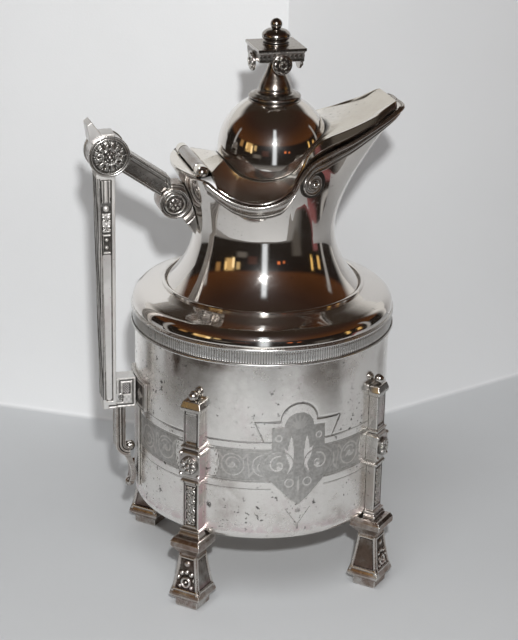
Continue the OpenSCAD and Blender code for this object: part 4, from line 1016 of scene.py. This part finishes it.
def leg_relief(angle):
    c, s = math.cos(math.radians(angle)), math.sin(math.radians(angle))

    def relief(p, n):
        y, z = -p[:, 0] * s + p[:, 1] * c, p[:, 2]
        outward, sideways = n[:, 0] * c + n[:, 1] * s, -n[:, 0] * s + n[:, 1] * c
        front = smooth(0.55, 0.8, outward)
        # lower panel of the column
        low, high = DRUM_LIFT + 6.2, BLOCK_LOW - 5.8
        panel = front * (z > low) * (z < high) * (np.abs(y) < PANEL_HALF - 0.3)
        leaves = foliage(y, z, low, high, PANEL_HALF - 0.35)
        column = front * (z > DRUM_LIFT + 5) * (z < LEG_TOP - 5) * (np.abs(z - BLOCK_MID) > 9)
        dark = most(panel * (1 - leaves) * 0.75, column * pair(y, PANEL_HALF + 0.2, 0.5) * 0.9)
        # foot: a framed palmette on the front, a framed plain field on the sides
        half = mix(8.4, 4.9, np.clip((z - FOOT_LOW) / (FOOT_TOP - FOOT_LOW), 0, 1) ** 0.62)
        across = np.abs(np.where(front > 0.3, y, p[:, 0] * c + p[:, 1] * s - DRUM_R - 1.9))
        on_foot = most(front, smooth(0.5, 0.8, np.abs(sideways))) * smooth(8.6, 9.4, z)
        on_foot = on_foot * smooth(FOOT_TOP - 0.6, FOOT_TOP - 1.4, z)
        rail = most(ridge(z - 10.4, 0.7), ridge(z - FOOT_TOP + 2, 0.6))
        edge = most(ridge(half - 0.9 - across, 0.75), rail * (across < half - 0.9)) * on_foot
        field = on_foot * (across < half - 1.8) * (z > 11.2) * (z < FOOT_TOP - 2.8)
        lobes = [bead(y, z, (5.2 * math.sin(t), 14.2 + 5.6 * math.cos(t)), 1.45)
                 for t in (-1.15, -0.55, 0, 0.55, 1.15)]
        fan = most(*lobes, hoop(y, z, (0, 14.6), 2.2, 0.9), bead(y, z, (0, 14.6), 1.0),
                   bead(y, z, (0, 24.2), 1.9), bead(np.abs(y), z, (3.2, 12.4), 1.2)) * (front > 0.3)
        out = panel * leaves * 0.75 + edge * 0.35 - field * 0.3 + field * fan * 0.95
        dark = most(dark, field * (1 - fan) * np.where(front > 0.3, 0.6, 0.5))
        # beads on the block's corners
        to_corner = np.minimum(np.abs(z - BLOCK_LOW - 0.9), np.abs(z - BLOCK_TOP + 0.9))
        corner = bead(np.abs(y), to_corner, (4.9, 0), 1.15)
        # brown film on the foot and the mouldings; pink bloom down one side of the left front leg
        bloom = field * smooth(14.5, 12.0, z)
        if angle == LEG_ANGLES["leg_front_left"]:
            bloom = most(bloom, smooth(0.5, 0.8, sideways) * (z > DRUM_LIFT + 2) * (z < BLOCK_TOP + 9))
        film = np.where(z < DRUM_LIFT + 1, 0.85, 0.25) * (1 - 0.7 * edge) * (1 - 0.8 * fan * field)
        return out + corner * front * 0.8, dark, bloom, film

    return relief


def handle_face(n):
    """1 on the handle's flat faces, 0 on its edges."""
    return smooth(0.55, 0.8, np.abs(n[:, 1]))


GRIP_OUT = 85.0
GRIP_LOW = DRUM_LIFT + 52.6
BOSS = np.array([-GRIP_OUT + 6.5, LEDGE_Z + 8.7])
GRIP_TOP = BOSS[1] + 10.5
LOWER_BOSS = np.array([-(HINGE_BACK + 9.8), LEDGE_Z - 17])
KEY_RIGHT = -(DRUM_R + 2)
KEY_TOP = GRIP_LOW + 15.6
LEAVES_LOW, BLOCK_AT = 183.4, 177.4     # foot of the grip's leafy stretch, and middle of the block under it
TAIL_X, TAIL_TURN, TAIL_R = -GRIP_OUT + 11.8, GRIP_LOW - 20.5, 4.6


def grip_relief(p, n):
    x, y, z = p.T
    face = handle_face(n)
    f = (z - GRIP_LOW) / (GRIP_TOP - GRIP_LOW)
    left, right = mix(-GRIP_OUT + 3, -GRIP_OUT, f), mix(-GRIP_OUT + 9.4, -GRIP_OUT + 9.6, f)
    u, half = x - (left + right) / 2, (right - left) / 2 - 1.7
    # leafy stretch under the boss, and the little framed block below it
    high = BOSS[1] - 12.4
    strip = face * (z > LEAVES_LOW) * (z < high) * (np.abs(u) < half)
    fluted = (z > high - 12) * np.abs(np.cos(u * np.pi / 2.2)) ** 0.7 * smooth(high - 12, high - 10, z)
    leaves = most(foliage(u, z, LEAVES_LOW, high - 16.5, 3.0), fluted, bead(u, z, (0, high - 14.2), 1.7),
                  bead(np.abs(u), z, (2.4, high - 14.2), 0.7))
    block = face * (np.abs(z - BLOCK_AT) < 5.0) * (np.abs(u) < half)
    raised = most(ridge(np.abs(u) - half + 0.5, 0.6), pair(z - BLOCK_AT, 4.4, 0.7),
                  bead(u, z, (0, BLOCK_AT + 2), 1.1), bead(u, z, (0, BLOCK_AT - 1.8), 1.1))
    out = np.where(block > 0, block * (0.3 + raised * 0.9), strip * (0.35 + leaves * 0.95))
    dark = np.where(block > 0, block * (1 - raised) * 0.85, strip * (1 - leaves) * 0.7)
    # the sunk filling of the fret
    key = face * (x > KEY_RIGHT - 9) * (x < KEY_RIGHT) * (z > GRIP_LOW) * (z < KEY_TOP) * (np.abs(y) < 3.8)
    key = key * (0.55 + 0.35 * np.sin(x * 5) * np.sin(z * 5))
    dull = face * (x > -GRIP_OUT + 9.9) * (z < KEY_TOP + 0.5)
    dull = dull * (0.30 + 0.12 * np.sin(x * 2.7) * np.sin(z * 1.9))
    # a line cut along the middle of the fret's bars
    low, top, right = GRIP_LOW + 1.4, KEY_TOP - 1.4, KEY_RIGHT - 1.4
    bars = [(-GRIP_OUT + 6, low), (right, low), (right, top), (KEY_RIGHT - 8, top),
            (KEY_RIGHT - 8, KEY_TOP - 7.6)]
    cut = stroke(x, z, bars, 0.75) * face
    # three ribs down the outer and inner edge
    rib = most(pair(y, 3.3, 0.6), pair(y, 1.3, 0.6)) * (1 - face) * smooth(0.5, 0.8, np.abs(n[:, 0]))
    rib = rib * (z < GRIP_TOP - 8)
    # tarnish along the outer edge
    outer = (z < BOSS[1] - 11) * (z > GRIP_LOW + 5) * (n[:, 0] < 0.3)
    outer = outer * most(face * smooth(-half + 0.5, -half - 0.1, u), smooth(-0.3, -0.6, n[:, 0]))
    margin = outer * (0.58 + 0.3 * np.sin(y * 4.2 + x * 7))
    return out - cut * 0.45 - rib * 0.3, most(dark, key, dull, cut * 0.6, rib * 0.8, margin)


def arm_relief(p, n):
    """Fine lines along the arm's edges, and painted shade that darkens its channel towards the upper edge."""
    x, z = p[:, 0] - BOSS[0], p[:, 2] - BOSS[1] - 1.8
    way = unit(LOWER_BOSS - BOSS + [0, 3.4])
    v = z * way[0] - x * way[1]
    face = handle_face(n)
    groove = most(pair(v, 4.2, 0.35), ridge(v - 2.1, 0.3)) * face
    top = most(pair(p[:, 1], 3.4, 0.5), pair(p[:, 1], 1.4, 0.5)) * (1 - face)
    # painted shade: the channel face is darkened towards its upper edge, as if shaded
    shade = face * smooth(-2.5, 3.0, v) * (np.abs(v) < 3.6) * 0.5
    return -0.3 * groove - 0.25 * top, most(most(groove, top) * 0.9, shade)


def boss_relief(middle, r, petals):
    """Raised rim, rings and a leafy flower on the ends of the handle's joints."""
    def relief(p, n):
        x, z = p[:, 0] - middle[0], p[:, 2] - middle[1]
        d = np.hypot(x, z)
        face = smooth(0.5, 0.8, np.abs(n[:, 1]))
        if petals > 8:
            dots = bead(d, np.sin(5 * np.arctan2(z, x)) * d / 5, (r * 0.62, 0), 0.75)
            blooms = most(flower(x, z, r * 0.42, 6), 0.9 * flower(x, z, r * 0.84, petals, 15) * (d > r * 0.36))
            bloom = most(blooms * 0.8, ridge(d - r * 0.40, 0.3) * 0.6, dots)
        else:
            bloom = most(flower(x, z, r * 0.46, petals), ridge(d - r * 0.62, 0.55))
        line = face * ridge(d - r + 1.0, 0.28)
        field = face * (d < r - 1.7)
        return field * bloom * 0.85 - line * 0.3, most(field * (1 - bloom) * 0.85, line)
    return relief


def block_flowers(p, n):
    """Petals on the flowers of the four legs' blocks."""
    x, y = np.abs(p[:, 0]), np.abs(p[:, 1])
    face = smooth(0.5, 0.8, (np.abs(n[:, 0]) + np.abs(n[:, 1])) / math.sqrt(2))
    bloom = flower((x - y) / math.sqrt(2), p[:, 2] - BLOCK_MID, 4.5, 7, 12)
    return face * bloom * 0.5, face * (1 - bloom) * 0.62


def root_relief(p, n):
    """Rings, and a raised band between them on the lower half, about the lower joint."""
    d = np.hypot(p[:, 0] - LOWER_BOSS[0], p[:, 2] - LOWER_BOSS[1])
    face = handle_face(n)
    rings = pair(d - 10.7, 1.7, 0.45) * face
    scale = ridge(d - 10.8, 1.0) * face * (p[:, 2] < LOWER_BOSS[1])
    return rings * -0.35 + scale * 0.3, most(rings * 0.9, face * 0.35)


def bracket_relief(p, n):
    """Sunk plate with a raised border and leaves."""
    s, z = np.abs(p[:, 1]), p[:, 2] - (GRIP_LOW + KEY_TOP) / 2 - 0.4
    face = smooth(0.5, 0.8, -n[:, 0])
    leaves = [leaf(s, z, (6, at), turn, length, width)
              for at, turn, length, width in ((0, 0, 6.6, 2.2), (-0.5, 55, 4.4, 1.2), (0.5, -55, 4.4, 1.2))]
    high = most(ridge(s - 13.2, 0.8), pair(z, 6.1, 0.8), *leaves)
    return face * (high * 0.3 - 0.3), face * (1 - high) * 0.7


def tail_relief(p, n):
    """Three ribs along the tail's bar, down to where it turns in."""
    x, z = p[:, 0] - TAIL_X, p[:, 2] - TAIL_TURN
    off = np.where(z > 0, x, TAIL_R - np.hypot(x - TAIL_R, z))
    flat = handle_face(n)
    face = flat * (x < TAIL_R) * (np.abs(off) < 2.2)
    groove = pair(off, 0.75, 0.42) * face
    rib = pair(p[:, 1], 1.7, 0.55) * (1 - flat)
    inner = face * smooth(0.4, 1.6, off) * 0.45
    return -0.3 * groove - 0.25 * rib, most(rib * 0.8, groove * 0.95, inner)


def abacus_relief(p, n):
    """Egg row under the cornice of the square cap."""
    x, y, z = (p - [DOME_X, 0, PLATE_Z - 1.5]).T
    nx, ny = np.abs(n[:, 0]), np.abs(n[:, 1])
    egg = np.abs(np.cos(np.where(nx > ny, y, x) * np.pi / 2.2)) * ridge(z, 1.1)
    under = smooth(0.6, 0.85, most(nx, ny)) * (z < 1.3)
    return under * egg * 0.16, under * (0.3 + ridge(z, 1.6) * (1 - egg) * 0.3)


def make_ledge():
    """The hinge's ledge, with a small web at each end that closes the corner of the mouth."""
    ledge = cast("hinge_ledge", "ledge", 0.26, "pot", COVER, slot="lid_plate")
    outer = rim(np.linspace(13.9, 15, 17))
    outer = outer - unit(spread(outer[:, :2])) * 1.3 - UP * 0.3
    f = np.linspace(0, 1, 17)[:, None]
    inner = mix(np.array([[-33.1, 22.4, LEDGE_Z + 0.9]]), np.array([[-37.6, 21.2, LEDGE_Z - 0.2]]), f)
    web = np.stack([outer, inner, inner - UP * 0.9, outer - UP * 0.9], 1)
    joined("ledge", [ledge, *[ring_object("web", web * flip, False) for _, flip in SIDES]])


def make_cast():
    make_ledge()
    cast("hinge_pin", "pin", 0.2, "pot", MOULDED)
    cast("lid_knuckle", "knuckle", 0.22, "lid", FINIAL, slot="lid_plate")
    cast("abacus", "abacus_block", 0.18, "lid", FINIAL, abacus_relief, 2)
    cast("abacus_rosettes", "abacus_flowers", 0.16, "lid", FINIAL)
    cast("handle_grip", "grip", 0.26, "pot", GRIP, grip_relief)
    cast("handle_arm", "arm", 0.24, "pot", CAST, arm_relief, film=0.3)
    cast("handle_upper_boss", "upper_bosses", 0.2, "pot", CAST, boss_relief(BOSS, 10.0, 12))
    cast("handle_lower_boss", "lower_bosses", 0.18, "pot", CAST, boss_relief(LOWER_BOSS, 7.4, 6), film=0.3)
    cast("handle_root", "root", 0.24, "pot", CAST, root_relief, film=0.75)
    cast("handle_bracket", "bracket", 0.22, "pot", CAST, bracket_relief, 2, film=0.4)
    cast("handle_tail", "tail", 0.22, "pot", CAST, tail_relief, film=0.7)
    cast("tail_strip", "strip", 0.24, "pot", CAST, softness=2, film=0.6)
    for node, angle in LEG_ANGLES.items():
        cast(node, node.replace("leg", "cast_leg"), 0.27, "pot", CAST, leg_relief(angle))
    cast("leg_rosettes", "leg_flowers", 0.16, "pot", CAST, block_flowers)
    cast("leg_balls", "leg_tops", 0.22, "pot", CAST, film=0.3)


def make_hidden():
    """The pieces that cannot be seen from outside, as the CAD has them."""
    for node, body, material, slot in (("base_disc", "pot", BRIGHT, "polished_silver"),
                                       ("finial_stud", "lid", HIDDEN, "hidden_brass"),
                                       ("finial_nut", "lid", HIDDEN, "hidden_brass")):
        finish_piece(linked(f"{node}_piece", NODES[node].data.copy()), body, material, node, slot=slot)


make_drum()
make_band()
make_shoulder()
make_neck()
make_mouldings()
make_scrolls()
make_spout_ornament()
make_lid_plate()
make_lid_top()
make_cast()
make_hidden()


# ---------- table, room, light and camera ----------
CAMERA_AZ, CAMERA_EL = -16.28, 21.42
CAMERA_AIM, CAMERA_AWAY = 0.1296, 0.9899        # metres: height looked at, and how far away
CAMERA_ROLL = 1.26
LAMP_AIM = 0.12
CORNER = np.array([47.0, 123.0])        # where the two walls meet, from the pot's axis
LEFT_WALL = np.array([-0.849, 0.529])   # which way each wall runs from there
RIGHT_WALL = np.array([0.941, 0.339])
CORNER_SOFT = 25.0                      # how gently one wall turns into the other
TABLE_REACH, TABLE_NEAR = 900.0, 400.0
FOLD_R = 3.0                            # where the table turns up into the walls
# dips of the table's front edge: place, width and depth
BAYS = ((-290, 60, 110), (30, 70, 60), (290, 45, 150))


def direction(azimuth, elevation):
    """From the pot towards a camera at these angles in degrees."""
    a, e = math.radians(azimuth), math.radians(elevation)
    return Vector((math.sin(a) * math.cos(e), -math.cos(a) * math.cos(e), math.sin(e)))


def aimed(name, data, height, away, distance, roll=0.0):
    """Camera or lamp that looks at a point of the pot's axis; height and distance are in metres."""
    o = linked(name, data)
    o.location = Vector((AXIS_X * MM, 0, height)) + away * distance
    o.rotation_mode = "QUATERNION"
    o.rotation_quaternion = (-away).to_track_quat("-Z", "Y") @ Quaternion((0, 0, 1), math.radians(roll))
    return o


def cloth():
    n = Surface("cloth")
    weave, folds = n.ramp(n.noise(900, 3, 0.6), 0.3, 0.7), n.noise(5, 3, 0.5)
    # painted light: the upright part, the walls, gets a paler colour than the table top, standing in for light
    # that the lamps give the walls too little of
    upright = n.ramp(n.add("SeparateXYZ", {0: n.place}, "Z"), 0.0, 0.002)
    cloth_colour_with_painted_wall_light = n.blend(upright, (0.56, 0.575, 0.585), (0.79, 0.805, 0.815))
    cloth_colour_with_painted_wall_light = n.blend(n.ramp(folds, 0.35, 0.65, 0.0, 0.06), cloth_colour_with_painted_wall_light, (0.30, 0.31, 0.32))
    n.set(Base_Color=cloth_colour_with_painted_wall_light, Roughness=0.9, Normal=n.bump(folds, 0.25, 0.006, n.bump(weave, 0.08, 0.0003)))
    # seen from behind, the cloth lets the camera look through
    through = n.times(n.add("NewGeometry", out="Backfacing"), n.add("LightPath", out="Is Camera Ray"))
    both = n.add("MixShader", {0: through, 1: n.shader.outputs[0], 2: n.add("BsdfTransparent")})
    n.put(both, n.tree.nodes["Material Output"].inputs["Surface"])
    return n.material


def upward(bm):
    """Turns all faces over if they look down."""
    bm.faces.ensure_lookup_table()
    if sum(f.normal.z * f.calc_area() for f in bm.faces) < 0:
        bmesh.ops.reverse_faces(bm, faces=bm.faces)


def make_table():
    """Pale cloth on the table, turned up behind the pot into two pale walls; the walls' paler colour is painted
    light.
    """
    a = math.radians(CAMERA_AZ)
    front, beside = np.array([math.sin(a), -math.cos(a)]), np.array([math.cos(a), math.sin(a)])
    ends, corner = np.linspace(2 * CORNER_SOFT, TABLE_REACH, 16), np.linspace(-1.6, 1.6, 15) * CORNER_SOFT
    lines = []
    # each line runs from the front edge of the table to the top of the wall
    for s in (*-ends[::-1], *corner, *ends):
        foot = CORNER + (LEFT_WALL if s < 0 else RIGHT_WALL) * (math.hypot(s, CORNER_SOFT) - CORNER_SOFT)
        side = foot @ beside
        edge = TABLE_NEAR - sum(deep * math.exp(-(((side - at) / wide) ** 2)) for at, wide, deep in BAYS)
        depth = math.sqrt(max(edge**2 - side**2, 60.0**2)) * smooth(-330.0, -190.0, side)
        start = front * depth + beside * side
        inward = unit(start - foot) * FOLD_R
        line = [(mix(start, foot, t), z) for t, z in ((0, -14.0), (0.004, -1.5), (0.02, 0.0))]
        line += [(mix(start, foot, t), 0.0) for t in np.linspace(0.1, 1, 8)[:-1]]
        for b in np.radians(np.linspace(0, 90, 8)):
            line.append((foot + inward * (1 - math.sin(b)), FOLD_R * (1 - math.cos(b))))
        line += [(foot, z) for z in (60, 150, 220, 285)]
        lines.append([np.append(place, z) for place, z in line])
    lines = np.array(lines)
    front, foot = np.append(front, 0), lines[:, -1] * [1, 1, 0]
    behind = np.stack([foot, foot + (foot - front * 100) * 0.02, foot - front * 900], 1)
    material = cloth()
    for name, sheet in (("table", lines), ("table_behind", behind)):
        faces = grid_faces(*sheet.shape[:2], False, False)
        o = edited(mesh_object(name, sheet.reshape(-1, 3), faces), upward)
        o.data.materials.append(material)


def make_camera():
    data = bpy.data.cameras.new("camera")
    data.lens, data.sensor_width, data.sensor_fit = 111.0, 36.0, "AUTO"
    data.shift_x = -0.0044
    away = direction(CAMERA_AZ, CAMERA_EL)
    bpy.context.scene.camera = aimed("camera", data, CAMERA_AIM, away, CAMERA_AWAY, CAMERA_ROLL)


# the room in front of the pot: sine of the height looked at, and colour
ROOM = ((-1.0, (0.30, 0.29, 0.28)), (-0.45, (0.20, 0.19, 0.18)), (-0.33, (0.018, 0.014, 0.011)),
        (0.27, (0.012, 0.008, 0.006)), (0.34, (0.078, 0.029, 0.010)), (0.52, (0.058, 0.023, 0.009)),
        (0.75, (0.033, 0.016, 0.010)), (1.0, (0.030, 0.021, 0.015)))
CEILING = (0.035, 0.025, 0.018)
# its lamps and pale strips: bearing and half width in degrees, lowest and highest sine, colour
LAMPS = ((-52, 7, 0.02, 0.30, (0.62, 0.39, 0.15)), (-46, 2, 0.0, 0.24, (1.3, 0.95, 0.48)),
         (-58, 2, 0.10, 0.28, (1.0, 0.66, 0.27)), (-38, 3, 0.10, 0.27, (0.55, 0.38, 0.17)),
         (-71, 4, 0.12, 0.30, (0.32, 0.17, 0.06)), (-33, 8, -0.14, -0.02, (0.13, 0.115, 0.10)),
         (-16, 7, -0.05, 0.14, (0.06, 0.026, 0.018)), (24, 2.2, 0.06, 0.13, (0.9, 0.22, 0.06)),
         (32, 1.8, 0.05, 0.11, (0.6, 0.16, 0.05)), (79, 2, -0.06, 0.24, (0.9, 0.55, 0.17)),
         (92, 2.5, -0.04, 0.20, (0.75, 0.44, 0.14)), (54, 8, -0.42, -0.06, (0.08, 0.07, 0.06)),
         (90, 5, -0.6, -0.14, (0.20, 0.075, 0.075)), (-90, 2.5, -0.5, 0.5, (0.34, 0.33, 0.32)),
         (104, 2.5, -0.5, 0.5, (0.34, 0.33, 0.32)), (2.5, 6, -0.34, 0.80, (0.10, 0.095, 0.09)),
         (2.5, 4, -0.34, 0.78, (0.75, 0.80, 0.85)))


def make_world():
    """Pale room behind the pot and at its sides; dark and warm in front of it, with a few lamps."""
    world = bpy.data.worlds.new("room")
    world.use_nodes = True
    world.node_tree.nodes.clear()
    n = Nodes(world.node_tree, "Generated")

    def along(vector):
        return n.add("VectorMath", {0: n.place, 1: vector}, "Value", operation="DOT_PRODUCT")

    height = along((0, 0, 1))
    angle = n.math("ARCTAN2", along(direction(CAMERA_AZ + 90, 0)), along(direction(CAMERA_AZ, 0)))

    def away_from(degrees):
        return n.math("ABSOLUTE", n.math("SUBTRACT", angle, math.radians(degrees)), 0)

    room = n.add("ValToRGB", {0: n.math("MULTIPLY_ADD", height, 0.5, 0.5)})
    stops = room.node.color_ramp.elements
    while len(stops) < len(ROOM):
        stops.new(1.0)
    for stop, (sine, colour) in zip(stops, ROOM):
        stop.position, stop.color = sine / 2 + 0.5, (*colour, 1)
    sides = n.blend(n.ramp(height, 0.46, 0.66), (0.62, 0.61, 0.59), CEILING)
    room = n.blend(n.ramp(away_from(4), math.radians(119), math.radians(131)), room, sides)
    for at, half, low, high, colour in LAMPS:
        edge = min(0.03, (high - low) / 4)
        upright = n.times(n.ramp(height, low - edge, low + edge), n.ramp(height, high + edge, high - edge))
        across = n.ramp(away_from(at), math.radians(half * 1.5), math.radians(half * 0.4))
        room = n.blend(n.times(across, upright), room, colour)
    seen = n.blend(n.ramp(height, -0.45, 0.05), (0.50, 0.50, 0.50), (0.62, 0.63, 0.635))
    room = n.blend(n.add("LightPath", out="Is Camera Ray"), room, seen)
    output = n.tree.nodes.new("ShaderNodeOutputWorld")
    n.put(n.add("Background", {"Color": room}), output.inputs["Surface"])
    bpy.context.scene.world = world


def lamp(name, azimuth, elevation, distance, size, power, colour=(1, 1, 1), mirrored=True):
    """Round lamp that looks at the pot; mirrored says whether metal shows it."""
    data = bpy.data.lights.new(name, "AREA")
    data.shape, data.size, data.energy, data.color = "DISK", size, power, colour
    aimed(name, data, LAMP_AIM, direction(azimuth, elevation), distance).visible_glossy = mirrored


make_table()
make_camera()
make_world()
lamp("soft_light", -28, 58, 1.6, 1.1, 11, (0.97, 0.985, 1.0), mirrored=False)
lamp("flash", -14.5, 28, 1.15, 0.035, 10)

bpy.context.scene.view_settings.view_transform = "Standard"
